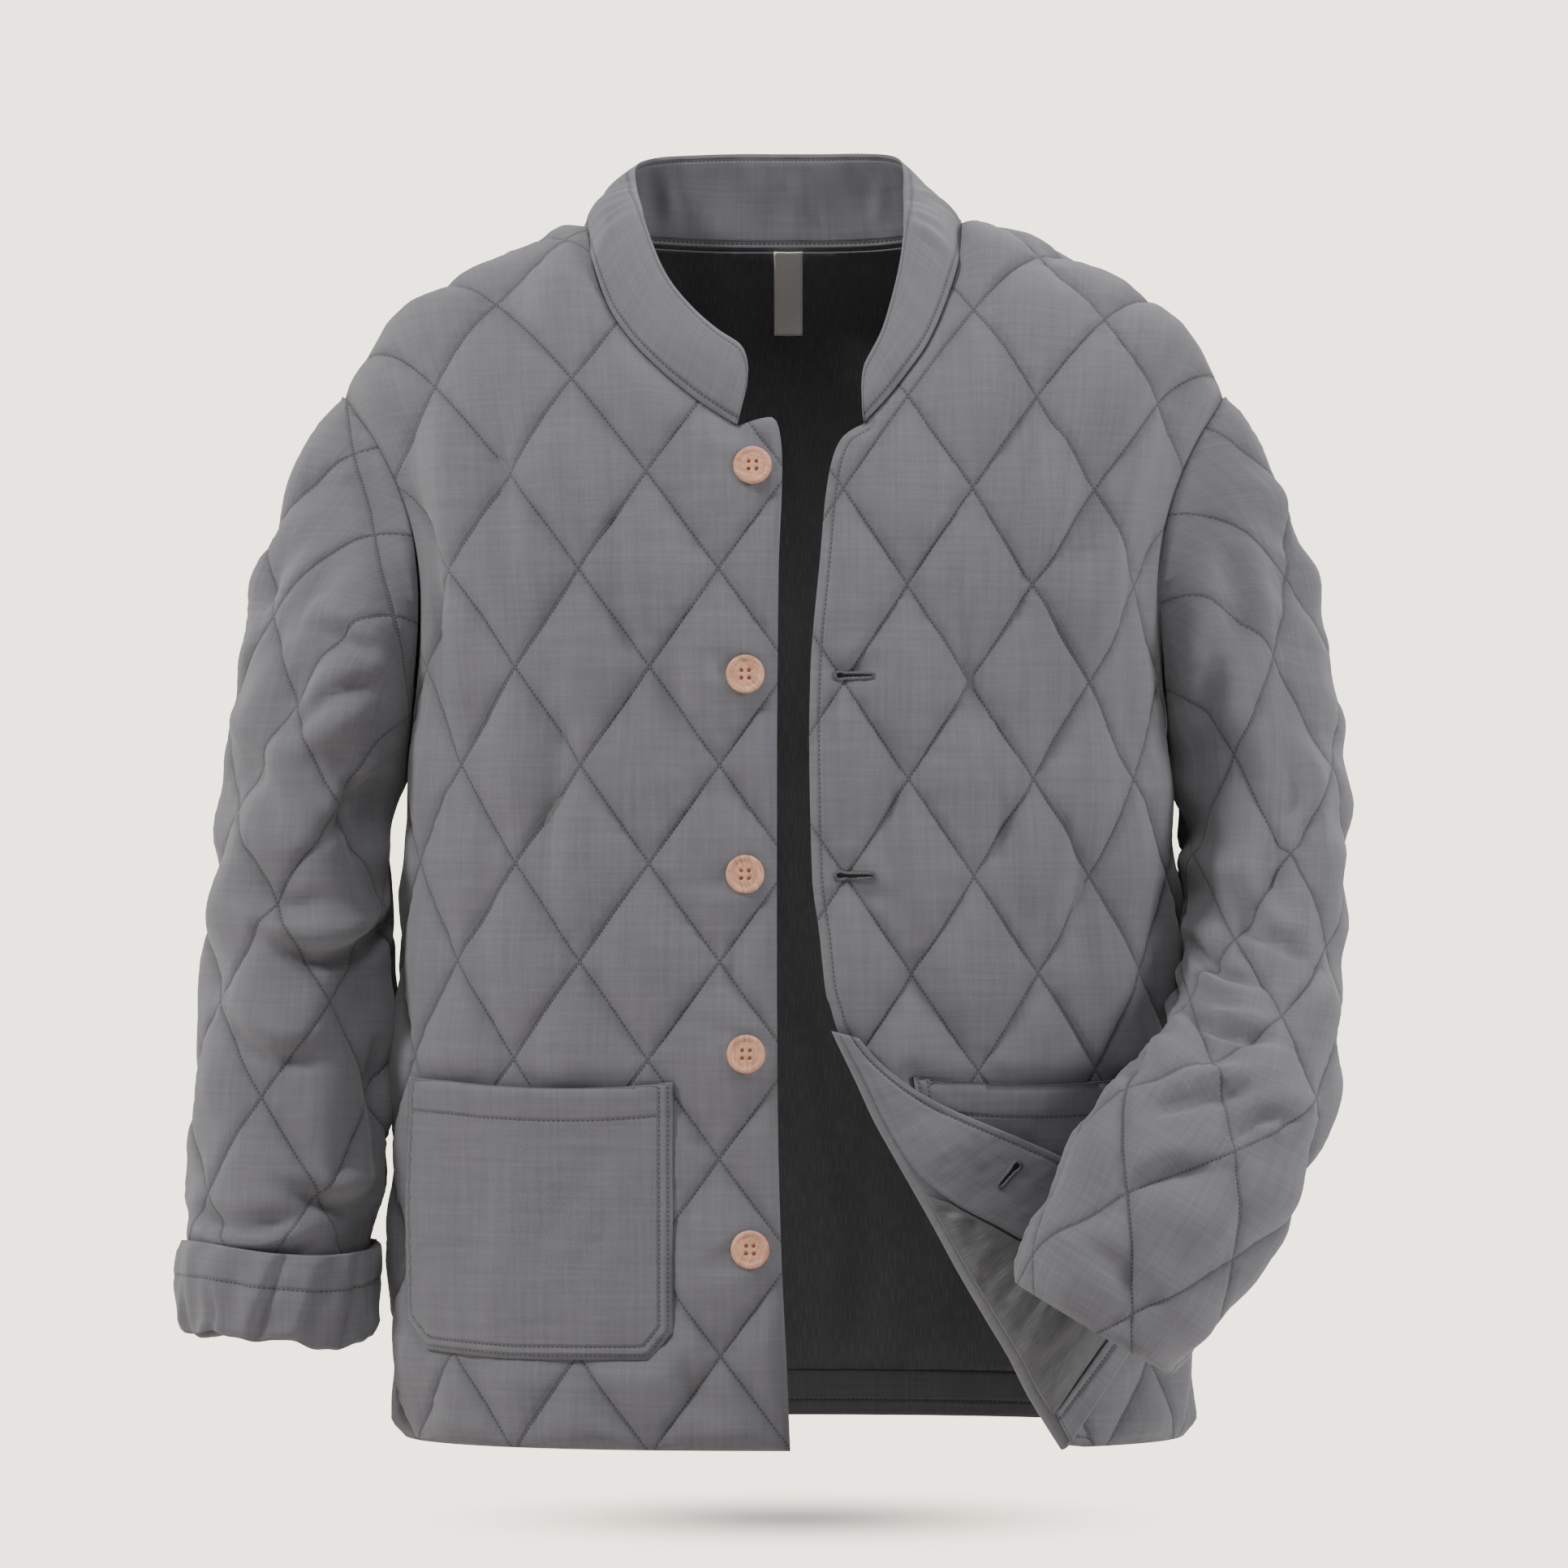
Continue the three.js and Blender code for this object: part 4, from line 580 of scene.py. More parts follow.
def makeStitchGroup():
    # One row of stitches: along and away are metres from the edge that it follows. Its dent mask shapes the groove for
    # the bump and also serves as a painted shade in the cloth's colour
    tree, inside, out = newGroup("stitch row", [
        ("Along", "NodeSocketFloat", 0.0), ("Away", "NodeSocketFloat", 0.0),
        ("Offset", "NodeSocketFloat", 0.005), ("Pitch", "NodeSocketFloat", 0.0027),
        ("Width", "NodeSocketFloat", 0.0008)],
        [("Thread", "NodeSocketFloat"), ("DentAndShade", "NodeSocketFloat")])
    gap = maths(tree, "ABSOLUTE", maths(tree, "SUBTRACT", inside["Away"], inside["Offset"]))
    line = maths(tree, "DIVIDE", gap, inside["Width"])
    near = mapped(tree, line, 0.35, 0.75, 1.0, 0.0, True)
    place = maths(tree, "FRACT", maths(tree, "DIVIDE", inside["Along"], inside["Pitch"]))
    middle = maths(tree, "ABSOLUTE", maths(tree, "SUBTRACT", place, 0.5))
    dash = mapped(tree, middle, 0.24, 0.34, 1.0, 0.0, True)
    tree.links.new(maths(tree, "MULTIPLY", near, dash), out["Thread"])
    tree.links.new(mapped(tree, line, 0.2, 2.2, 1.0, 0.0, True), out["DentAndShade"])
    return tree


def makeQuiltGroup(stitchGroup):
    # The two crossing families of quilting lines, from the quilting coordinates, and a painted shade that darkens the
    # soft valleys beside the lines
    tree, inside, out = newGroup("quilting stitches", [("Quilt", "NodeSocketVector", None)],
                                 [("Thread", "NodeSocketFloat"), ("DentAndShade", "NodeSocketFloat"),
                                  ("Valley", "NodeSocketFloat")])
    split = addNode(tree, "ShaderNodeSeparateXYZ")
    tree.links.new(inside["Quilt"], split.inputs[0])
    rows, paintedValleyShades = [], []
    for a, b in ((0, 1), (1, 0)):
        near = maths(tree, "PINGPONG", split.outputs[a], 0.5)
        paintedValleyShades.append(mapped(tree, near, 0.0, 0.13, 1.0, 0.0, True))
        row = addNode(tree, "ShaderNodeGroup", node_tree=stitchGroup)
        tree.links.new(maths(tree, "MULTIPLY", near, 0.0645), row.inputs["Away"])
        tree.links.new(maths(tree, "MULTIPLY", split.outputs[b], 0.0685), row.inputs["Along"])
        row.inputs["Offset"].default_value = 0.0
        row.inputs["Pitch"].default_value = 0.0685 / 27
        row.inputs["Width"].default_value = 0.00085
        rows.append(row)
    for label in ("Thread", "DentAndShade"):
        tree.links.new(maths(tree, "MAXIMUM", rows[0].outputs[label], rows[1].outputs[label]), out[label])
    tree.links.new(maths(tree, "MAXIMUM", *paintedValleyShades), out["Valley"])
    return tree


linenGroup = makeLinenGroup()
stitchGroup = makeStitchGroup()
quiltGroup = makeQuiltGroup(stitchGroup)
outerColour = (0.128, 0.1255, 0.139, 1)
# dark thread colour, also used as the painted shade in stitched grooves and quilting valleys
threadAndShadeColour = (0.040, 0.039, 0.044, 1)


def startMaterial(name, roughness, **sockets):
    material = bpy.data.materials.new(name)
    material.use_nodes = True
    tree = material.node_tree
    shader = tree.nodes["Principled BSDF"]
    shader.inputs["Roughness"].default_value = roughness
    for key, value in sockets.items():
        shader.inputs[{"sheen": "Sheen Weight", "sheenRoughness": "Sheen Roughness",
                       "specular": "Specular IOR Level", "coat": "Coat Weight"}[key]].default_value = value
    return material, tree, shader


def uvOf(tree, label):
    return addNode(tree, "ShaderNodeUVMap", uv_map=label).outputs[0]


def bumpTo(tree, shader, height, distance, strength=1.0):
    bump = addNode(tree, "ShaderNodeBump")
    bump.inputs["Strength"].default_value = strength
    bump.inputs["Distance"].default_value = distance
    tree.links.new(height, bump.inputs["Height"])
    tree.links.new(bump.outputs[0], shader.inputs["Normal"])


def makeCloth(name, colour=outerColour, quilted=False, rows=(), hemRows=(), slubs=1.0):
    material, tree, shader = startMaterial(name, 0.92, sheen=0.18, sheenRoughness=0.55, specular=0.18)
    weave = addNode(tree, "ShaderNodeGroup", node_tree=linenGroup)
    tree.links.new(uvOf(tree, "cloth"), weave.inputs["Cloth"])
    weave.inputs["Colour"].default_value = colour
    weave.inputs["Slubs"].default_value = slubs
    threads, dentsAndShade = [], []
    if quilted:
        quilt = addNode(tree, "ShaderNodeGroup", node_tree=quiltGroup)
        tree.links.new(uvOf(tree, "quilt"), quilt.inputs["Quilt"])
        threads.append(quilt.outputs["Thread"])
        dentsAndShade.append(quilt.outputs["DentAndShade"])
    for label, offsets in (("edge", rows), ("hem", hemRows)):
        if not offsets:
            continue
        split = addNode(tree, "ShaderNodeSeparateXYZ")
        tree.links.new(uvOf(tree, label), split.inputs[0])
        for offset in offsets:
            row = addNode(tree, "ShaderNodeGroup", node_tree=stitchGroup)
            tree.links.new(split.outputs[0], row.inputs["Along"])
            tree.links.new(split.outputs[1], row.inputs["Away"])
            row.inputs["Offset"].default_value = offset
            threads.append(row.outputs["Thread"])
            dentsAndShade.append(row.outputs["DentAndShade"])
    colourOut, height = weave.outputs["Colour"], maths(tree, "MULTIPLY", weave.outputs["Height"], 0.16)
    if quilted:
        # painted shade: the cloth's colour is darkened in the quilting valleys, where shade falls
        colourOut = blended(tree, maths(tree, "MULTIPLY", quilt.outputs["Valley"], 0.16), colourOut, threadAndShadeColour)
    if threads:
        thread, dentAndShade = threads[0], dentsAndShade[0]
        for more, moreDentAndShade in zip(threads[1:], dentsAndShade[1:]):
            thread = maths(tree, "MAXIMUM", thread, more)
            dentAndShade = maths(tree, "MAXIMUM", dentAndShade, moreDentAndShade)
        # painted shade: the colour darkens along the stitched grooves
        colourOut = blended(tree, maths(tree, "MULTIPLY", dentAndShade, 0.22), colourOut, threadAndShadeColour)
        colourOut = blended(tree, maths(tree, "MULTIPLY", thread, 0.8), colourOut, threadAndShadeColour)
        height = maths(tree, "SUBTRACT", height, maths(tree, "MULTIPLY", dentAndShade, 1.6))
        height = maths(tree, "ADD", height, maths(tree, "MULTIPLY", thread, 0.7))
    tree.links.new(colourOut, shader.inputs["Base Color"])
    bumpTo(tree, shader, height, 0.0004, 0.9)
    return material


def makeLining():
    material, tree, shader = startMaterial("satinLining", 0.5, sheen=0.25, sheenRoughness=0.4, specular=0.35)
    cloth = uvOf(tree, "cloth")
    ribs = noiseAt(tree, cloth, (1500, 90, 0), 2.0)
    cloud = noiseAt(tree, cloth, (40, 18, 0), 3.0)
    colour = blended(tree, cloud, (0.062, 0.061, 0.066, 1), (0.098, 0.096, 0.102, 1))
    tree.links.new(blended(tree, mapped(tree, ribs, 0.45, 0.8), colour, (0.13, 0.128, 0.135, 1)),
                   shader.inputs["Base Color"])
    tree.links.new(mapped(tree, cloud, 0.2, 0.8, 0.42, 0.6), shader.inputs["Roughness"])
    bumpTo(tree, shader, ribs, 0.0001, 0.5)
    return material


quiltedCloth = makeCloth("quiltedLinen", quilted=True)
quiltedEdged = makeCloth("quiltedLinenEdged", quilted=True, rows=(0.0055,))
pocketClothLook = makeCloth("pocketLinen", rows=(0.0024, 0.0072), hemRows=(0.0185,), slubs=0.7)
collarCloth = makeCloth("collarLinen", rows=(0.0035,), hemRows=(0.0035,), slubs=0.6)
bandCloth = makeCloth("bandLinen", rows=(0.008,), slubs=0.8)
facingCloth = makeCloth("facingLinen", rows=(0.005,), slubs=0.8)
liningCloth = makeLining()
print("materials made")


def metres(a):
    return np.asarray(a) / 1000


def place(piece, node, slotName):
    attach(piece, "root")
    if node:
        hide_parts(node)
    return piece


# Seams shared by the pieces

quilting = {"buttonSide": {"width": 79, "height": 112, "u": 0, "v": -2},
            "holeSide": {"width": 72, "height": 111, "u": 67, "v": 49},
            "back": {"width": 80, "height": 112, "u": 600, "v": -2},
            "sleeves": {"width": 80, "height": 112, "u": 0, "v": 20}}
# x, z of the neck seam and x, y, z of the collar's top edge, front edge first
neckButtonSide = np.array([
    [-27, -125, -17, -117, -88], [-36, -120, -23, -114, -80], [-52, -109, -39, -107, -69],
    [-68, -96, -54, -97, -55], [-86, -78, -67, -82, -38], [-101, -56, -76, -62, -18],
    [-111, -28, -83, -36, 4]], float)
neckHoleSide = np.array([
    [46, -123, 42, -119, -98], [59, -109, 48, -110, -86], [70, -95, 56, -100, -70],
    [82, -78, 62, -84, -50], [92, -56, 67, -64, -28], [101, -28, 70, -38, -4]], float)
neckBack = np.array([
    [-108, -5, -88, 30, 34], [-88, -9, -76, 44, 39], [-60, -11, -54, 53, 41], [-30, -12, -28, 57, 42],
    [0.01, -12, -2, 58, 42], [30, -12, 25, 57, 42], [58, -11, 48, 52, 42], [82, -8, 65, 42, 40],
    [98, -4, 71, 29, 34]], float)
shoulderNeck = {"buttonSide": (-109, (-88, 4, 22)), "holeSide": (97, (71, 4, 18))}
# x, z of the front edges, hem upward
buttonEdge = [(-2, -585), (-4, -462), (-4, -335), (-3, -208), (-1, -148), (-3, -126), (-7, -120)]
holeEdge = [(24, -451), (20, -415), (16, -383), (15, -268), (21, -197), (24, -164), (28, -143), (34, -131)]
foldLine = [(26, -456), (31, -472), (44, -497), (54, -519), (66, -541), (86, -577), (101, -605),
            (118, -634), (130, -654), (140, -674), (150, -691), (160, -707)]
pocketShape = [(63, -500), (95, -503), (130, -504), (165, -503), (192, -501), (213, -500), (216, -572),
               (215, -640), (203, -656), (154, -659), (76, -658), (63, -642)]
foldedPocketShape = [(73, -497), (100, -500), (130, -502), (160, -502), (190, -500), (213, -498),
                     (216, -560), (216, -640), (205, -656), (146, -658), (128, -630), (112, -602),
                     (97, -574), (80, -543)]


def rowsToCloth(rows, onFront=True):
    rows = np.asarray(rows, float)
    return clothAt(rows[:, 0], rows[:, 1], onFront)


def armholeStations(side, onBack):
    rows = [(side * (2 * quarter - u if onBack else u), chestCloth + up) for u, up in armholeRows]
    tip = side * (2 * quarter - form["shoulderTip"] if onBack else form["shoulderTip"])
    return np.array(rows + [(tip, topCloth(tip)[0])])


def armholeLine(side, onBack):
    return throughPoints(armholeStations(side, onBack), 4)


def shoulderLine(side, neckU, onBack):
    w = np.linspace(form["shoulderTip"], abs(neckU), 38)
    u = side * (2 * quarter - w if onBack else w)
    return np.stack([u, topCloth(u)], -1)


def anticlockwise(runs):
    outline = joinRuns([run for _, run in runs])
    x, y = outline[:, 0], outline[:, 1]
    if (x * np.roll(y, -1) - np.roll(x, -1) * y).sum() < 0:
        return [(kind, run[::-1]) for kind, run in runs[::-1]]
    return runs


def frontRuns(side, neckU, neck, edge, hemStart):
    start = np.array([[side * hemStart, 0.0]])
    hem = straightPoints([start[0], (side * quarter, 0)])
    sideSeam = straightPoints([(side * quarter, 0), (side * quarter, chestCloth)])
    arm = armholeLine(side, False)
    shoulder = shoulderLine(side, neckU, False)
    neckCloth = rowsToCloth(neck[::-1, :2])
    neckRun = throughPoints(np.concatenate([shoulder[-1:], neckCloth]), 4)
    down = rowsToCloth(edge[::-1])
    edgeRun = throughPoints(np.concatenate([neckCloth[-1:], down, start]), 4)
    return anticlockwise([("hem", hem), ("seam", sideSeam), ("seam", arm), ("seam", shoulder),
                          ("seam", neckRun), ("edge", edgeRun)])


def backRuns():
    whole = 4 * quarter

    def wrap(line):
        return np.stack([np.where(line[:, 0] < 0, line[:, 0] + whole, line[:, 0]), line[:, 1]], -1)

    hem = straightPoints([(quarter, 0), (3 * quarter, 0)])
    right = straightPoints([(3 * quarter, 0), (3 * quarter, chestCloth)])
    armRight, shoulderRight = wrap(armholeLine(-1, True)), wrap(shoulderLine(-1, -109, True))
    armLeft, shoulderLeft = armholeLine(1, True)[::-1], shoulderLine(1, 97, True)[::-1]
    neck = wrap(rowsToCloth(neckBack[:, :2], False))
    neckRun = throughPoints(np.concatenate([shoulderRight[-1:], neck, shoulderLeft[:1]]), 4)
    left = straightPoints([(quarter, chestCloth), (quarter, 0)])
    return [("hem", hem), ("seam", right), ("seam", armRight), ("seam", shoulderRight),
            ("seam", neckRun), ("seam", shoulderLeft), ("seam", armLeft), ("seam", left)]


def quiltRelief(points, lattice, look, seed):
    s, t = quiltPlace(points, lattice)
    rise = np.abs(np.sin(math.pi * s)) * np.abs(np.sin(math.pi * t))
    fromS = np.abs(s - np.round(s)) * 64.6
    fromT = np.abs(t - np.round(t)) * 64.6
    alongS, alongT = t * 68.5, s * 68.5
    # small puckers drawn across each row of stitches
    pucker = gauss((fromS - 4) / 5) * softNoise(np.stack([alongS, fromS * 0.3], -1), 11, seed) \
        + gauss((fromT - 4) / 5) * softNoise(np.stack([alongT, fromT * 0.3], -1), 11, seed + 1)
    full = 1 + look["uneven"] * softNoise(points, 120, seed + 2)
    # the drape's upright ripples, held flat along the stitches
    ripple = np.abs(softNoise(points, 21, seed + 7, (1.0, 3.4))) * rise
    return look["puff"] * full * rise ** look["round"] + look["pucker"] * pucker + look["ripple"] * ripple


def rollDown(distance, depth, reach):
    return -depth * (1 - np.clip(distance / reach, 0, 1)) ** 2


bodyLook = {"puff": 6.0, "round": 0.55, "uneven": 0.18, "pucker": 0.6, "ripple": 1.1, "seamDepth": 2.0,
            "seamReach": 8, "edgeDepth": 1.6, "edgeReach": 5, "waver": 1.9, "folds": 1.5}


def bodyPiece(name, runs, lattice, look, creases, seed, materials, pocket=None, facing=None):
    outline = joinRuns([run for _, run in runs])
    flat, triangles, border = flatMesh(outline, latticeFill(outline, lattice))
    u, v = aroundBody(flat[:, 0]), flat[:, 1]
    points, normals = bodyPoints(u, v), bodyNormals(u, v)
    distance = {kind: np.full(len(flat), 1e3) for kind in ("hem", "seam", "edge")}
    edgeMap = np.zeros((len(flat), 2))
    edgeMap[:, 1] = 500
    for kind, run in runs:
        gap, along, _ = measureLine(run, flat)
        if kind == "edge":
            edgeMap = np.stack([along, gap], -1)
        distance[kind] = np.minimum(distance[kind], gap)
    onAny = np.minimum(np.minimum(distance["hem"], distance["seam"]), distance["edge"])
    fade = smoothStep(distance["seam"], 0, 16) * smoothStep(np.minimum(distance["hem"], distance["edge"]), 0, 11)
    underArm = smoothStep(np.abs(np.abs(u) - quarter), 24, 46) + smoothStep(chestCloth - 70 - v, 0, 30)
    fade = fade * np.clip(underArm, 0, 1)
    relief = quiltRelief(flat, lattice, look, seed)
    calm = np.ones(len(flat))
    if pocket is not None:
        gap = measureLine(pocket, flat, True)[0]
        calm = np.where(insideOutline(pocket, flat), 0, smoothStep(gap, 0, 12) * 0.75 + 0.25)
    relief = relief * fade * calm
    relief += calm * smoothStep(onAny, 0, 20) * (
        look["waver"] * softNoise(flat, 70, seed + 5, (0.8, 2.4)) + look["folds"] * creaseRelief(flat, creases))
    relief += rollDown(distance["seam"], look["seamDepth"], look["seamReach"])
    relief += rollDown(np.minimum(distance["hem"], distance["edge"]), look["edgeDepth"], look["edgeReach"])
    outer = points + normals * relief[:, None]
    thick = np.where(onAny < 0.01, 2.6, form["wall"])
    inner = points - normals * thick[:, None]
    quilt = np.stack(quiltPlace(flat, lattice), -1)
    middle = flat[triangles].mean(axis=1)
    insidePaint = np.full(len(triangles), 1)
    if facing is not None:
        insidePaint[measureLine(facing, middle)[0] < 57] = 0
    insidePaint[middle[:, 1] < 26] = 0
    return shellPiece(name, flat, triangles, border, outer, inner,
                      [("cloth", metres(flat)), ("quilt", quilt), ("edge", metres(edgeMap))],
                      materials, insidePaint)


def edgeOf(runs):
    return next(run for kind, run in runs if kind == "edge")


def lower(u, v, du, dv, width, depth, side=1):
    return {"path": [(u, v), (u + du * 0.5 + dv * 0.04, v + dv * 0.5), (u + du, v + dv)],
            "width": width, "depth": depth, "side": side}


# Long soft folds that hang on the fronts and the back, in cloth coordinates
buttonSideFolds = [lower(-158, 610, 4, -140, 7, 2.2), lower(-96, 560, 8, -120, 6, 1.8, -1),
                   lower(-62, 470, 6, -100, 7, 1.6), lower(-128, 420, -8, -130, 8, 2.0),
                   lower(-178, 330, 10, -110, 8, 1.8, -1), lower(-30, 300, 4, -70, 6, 1.5),
                   lower(-212, 540, 6, -150, 9, 2.6, -1), lower(-70, 60, 30, -46, 7, 2.4),
                   lower(-118, 44, 26, -38, 6, 2.0), lower(-12, 575, -34, 16, 6, 1.8),
                   lower(-14, 440, -34, 12, 6, 1.6), lower(-16, 330, -36, -10, 6, 1.6),
                   lower(-14, 230, -34, 10, 6, 1.6), lower(-14, 118, -36, -14, 6, 1.8)]
holeSideFolds = [lower(150, 610, -18, -150, 8, 3.0), lower(98, 540, 14, -150, 7, 2.4, -1),
                 lower(120, 420, 10, -130, 8, 2.4), lower(176, 400, -6, -150, 8, 2.2, -1),
                 lower(60, 400, 4, -110, 6, 1.8), lower(206, 560, 4, -170, 10, 3.0),
                 lower(28, 330, 26, -20, 6, 2.0), lower(24, 440, 30, 8, 6, 1.8),
                 lower(66, 300, 14, -70, 7, 2.0), lower(196, 250, -14, -60, 8, 2.0)]
backFolds = [lower(600 + side * u, v, side * du, dv, width, depth, side) for side in (-1, 1)
             for u, v, du, dv, width, depth in (
                 (28, 600, 10, -190, 10, 2.4), (92, 560, -8, -170, 9, 2.2), (150, 590, 8, -180, 10, 2.6),
                 (60, 330, 8, -150, 9, 2.0), (130, 300, -12, -140, 9, 2.2), (205, 500, -4, -160, 10, 2.6),
                 (190, 210, 10, -120, 9, 2.0), (34, 140, -6, -110, 8, 1.8))]

rightRuns = frontRuns(-1, -109, neckButtonSide, buttonEdge, 2)
leftRuns = frontRuns(1, 97, neckHoleSide, foldLine[::-1] + holeEdge, 165)
spineRuns = backRuns()
pocketRows = rowsToCloth(np.array(pocketShape) * (-1, 1))
pocketRight = straightPoints(np.concatenate([pocketRows, pocketRows[:1]]))[:-1]
pocketLeft = straightPoints(np.concatenate([rowsToCloth(foldedPocketShape)] * 2)[:len(foldedPocketShape) + 1])[:-1]

frontRight = bodyPiece("front_right_cloth", rightRuns, quilting["buttonSide"], bodyLook, buttonSideFolds, 11,
                       [quiltedCloth, liningCloth], pocketRight, edgeOf(rightRuns))
place(frontRight, "front_right", "outer_cloth")
frontLeft = bodyPiece("front_left_cloth", leftRuns, quilting["holeSide"], bodyLook, holeSideFolds, 23,
                      [quiltedEdged, liningCloth], pocketLeft, edgeOf(leftRuns))
place(frontLeft, "front_left", "outer_cloth")
backPiece = bodyPiece("back_cloth", spineRuns, quilting["back"], bodyLook, backFolds, 37,
                      [quiltedCloth, quiltedCloth])
place(backPiece, "back", "outer_cloth")
print("fronts and back made", sum(len(o.data.polygons) for o in (frontRight, frontLeft, backPiece)))


# Sleeves: outer edge x and z, inner edge x and z, middle y and half depth, cuff upward

hangingSleeve = np.array([
    [-345, -642, -243, -642, -34, 52], [-345, -600, -242, -600, -30, 55], [-344, -565, -236, -565, -24, 60],
    [-343, -525, -233.5, -525, -18, 64], [-340, -488, -232.5, -488, -13, 67],
    [-336, -450, -231.5, -450, -8, 70], [-333, -406, -229.5, -406, -3, 74], [-329, -367, -230, -367, 1, 78]], float)
bentSleeve = np.array([
    [219, -664, 129, -611, -192, 36], [236, -642, 140, -583, -191, 38], [252, -621, 154, -560, -187, 40],
    [267, -600, 165, -535, -181, 42], [280, -582, 175, -516, -172, 45], [294, -556, 190, -499, -158, 48],
    [305, -530, 206, -484, -138, 51], [313, -500, 218, -472, -112, 55], [318, -462, 229, -448, -72, 60],
    [323, -415, 233, -410, -32, 68], [326, -367, 233, -367, -6, 76]], float)
sleeveHalf = 190


def makeSleeve(side, table):
    centres = np.stack([(table[:, 0] + table[:, 2]) / 2, table[:, 4], (table[:, 1] + table[:, 3]) / 2], -1)
    levels = np.concatenate([[0], np.cumsum(np.linalg.norm(np.diff(centres, axis=0), axis=1))])
    straight = levels[-1]
    loops = {}
    for onBack in (False, True):
        cloth = armholeStations(side, onBack)
        points, normals = bodyPoints(cloth[:, 0], cloth[:, 1]), bodyNormals(cloth[:, 0], cloth[:, 1])
        length = np.concatenate([[0], np.cumsum(np.linalg.norm(np.diff(points, axis=0), axis=1))])
        after = np.concatenate([points[1:], points[-1:]])
        before = np.concatenate([points[:1], points[:-1]])
        away = unit(np.cross(unit(after - before), normals))
        away *= np.where(away @ np.array([2 * side, 0, 1]) > 0, 1, -1)[:, None]
        away[0] = (0, 0, 1)
        part = length / length[-1]
        fine = armholeLine(side, onBack)
        steps = measureLine(fine, fine)[1]
        finePart = np.interp(steps, measureLine(fine, cloth)[1], part)
        loops[onBack] = {"part": part, "normal": normals, "away": away, "fine": fine, "finePart": finePart}
    shared = unit(loops[False]["away"][-1] + loops[True]["away"][-1])
    for loop in loops.values():
        loop["away"][-1] = shared
    return {"side": side, "table": table, "levels": levels, "straight": straight, "loops": loops}


def seamAt(sleeve, w):
    w = (w + sleeveHalf) % (2 * sleeveHalf) - sleeveHalf
    part = 1 - np.abs(w) / sleeveHalf
    onBack = w * sleeve["side"] > 0
    out = {}
    for key in ("point", "normal", "away"):
        out[key] = np.zeros((len(w), 3))
    for flag, loop in sleeve["loops"].items():
        pick = np.nonzero(onBack == flag)[0]
        if not len(pick):
            continue
        p = part[pick]
        cloth = [np.interp(p, loop["finePart"], loop["fine"][:, k]) for k in (0, 1)]
        out["point"][pick] = bodyPoints(*cloth)
        for key in ("normal", "away"):
            out[key][pick] = unit(np.stack([np.interp(p, loop["part"], loop[key][:, k]) for k in range(3)], -1))
    ease = np.clip((part - 0.02) / 0.62, 0, 1)
    turn = math.pi * (1 - ease * ease * (3 - 2 * ease))

    def turned(x, y):
        return unit(out["away"] * x[:, None] + out["normal"] * y[:, None])

    out["leave"] = turned(np.cos(turn), np.sin(turn))
    out["across"] = turned(np.sin(turn), -np.cos(turn))
    out["clear"] = turned(np.cos(turn / 2), np.sin(turn / 2))
    return out


def ringAt(sleeve, w, l):
    table, levels = sleeve["table"], sleeve["levels"]
    place = np.interp(l, levels, np.arange(len(levels)))
    k = np.clip(np.floor(place).astype(int), 0, len(table) - 2)
    t = (place - k)[:, None]
    a, b, c, d = (table[np.clip(k + n, 0, len(table) - 1)] for n in (-1, 0, 1, 2))
    cubic = 2 * t ** 3 - 3 * t ** 2 + 1
    row = cubic * b + (t ** 3 - 2 * t ** 2 + t) * (c - a) / 2 + (1 - cubic) * c + (t ** 3 - t ** 2) * (d - b) / 2
    turn = math.pi * w / sleeveHalf
    x = (row[:, 0] + row[:, 2]) / 2 + np.cos(turn) * (row[:, 0] - row[:, 2]) / 2
    z = (row[:, 1] + row[:, 3]) / 2 + np.cos(turn) * (row[:, 1] - row[:, 3]) / 2
    return np.stack([x, row[:, 4] + np.sin(turn) * row[:, 5] * sleeve["side"], z], -1)


def capLength(sleeve, w):
    top = ringAt(sleeve, w, np.full(len(w), sleeve["straight"]))
    return 1.04 * np.linalg.norm(top - seamAt(sleeve, w)["point"], axis=1)


def sleevePoints(sleeve, w, l):
    straight = sleeve["straight"]
    out = ringAt(sleeve, w, np.clip(l, 0, straight))
    pick = np.nonzero(l > straight)[0]
    if len(pick):
        ww, ll = w[pick], l[pick]
        seam = seamAt(sleeve, ww)
        start = ringAt(sleeve, ww, np.full(len(ww), straight))
        length = 1.04 * np.linalg.norm(start - seam["point"], axis=1)
        t = np.clip((ll - straight) / length, 0, 1)[:, None]
        slope = unit(start - ringAt(sleeve, ww, np.full(len(ww), straight - 12)))
        cubic = 2 * t ** 3 - 3 * t ** 2 + 1
        out[pick] = cubic * start + (1 - cubic) * seam["point"] \
            + (t ** 3 - 2 * t ** 2 + t) * length[:, None] * slope \
            - (t ** 3 - t ** 2) * length[:, None] * seam["leave"]
    return out


def sleeveNormals(sleeve, w, l):
    top = sleeve["straight"] + capLength(sleeve, w) - 0.01
    high = np.minimum(l + 2, top)
    low = np.minimum(l, top)
    across = sleevePoints(sleeve, w + 2, low) - sleevePoints(sleeve, w - 2, low)
    upward = sleevePoints(sleeve, w, high) - sleevePoints(sleeve, w, high - 4)
    return unit(np.cross(across, upward))


def seenOnSleeve(sleeve, path):
    # Cloth coordinates of a path seen from the front
    w, l = np.meshgrid(-sleeve["side"] * np.arange(2, 189, 3.0), np.arange(2, sleeve["straight"] + 240, 4.0))
    w, l = w.ravel(), l.ravel()
    points = sleevePoints(sleeve, w, l)
    out = []
    for x, z in path:
        k = np.argmin((points[:, 0] - x) ** 2 + (points[:, 2] - z) ** 2)
        out.append((w[k], l[k]))
    return out


sleeveLook = {"puff": 5.4, "round": 0.57, "uneven": 0.22, "pucker": 0.6, "ripple": 0.9, "waver": 2.6, "folds": 2.0}


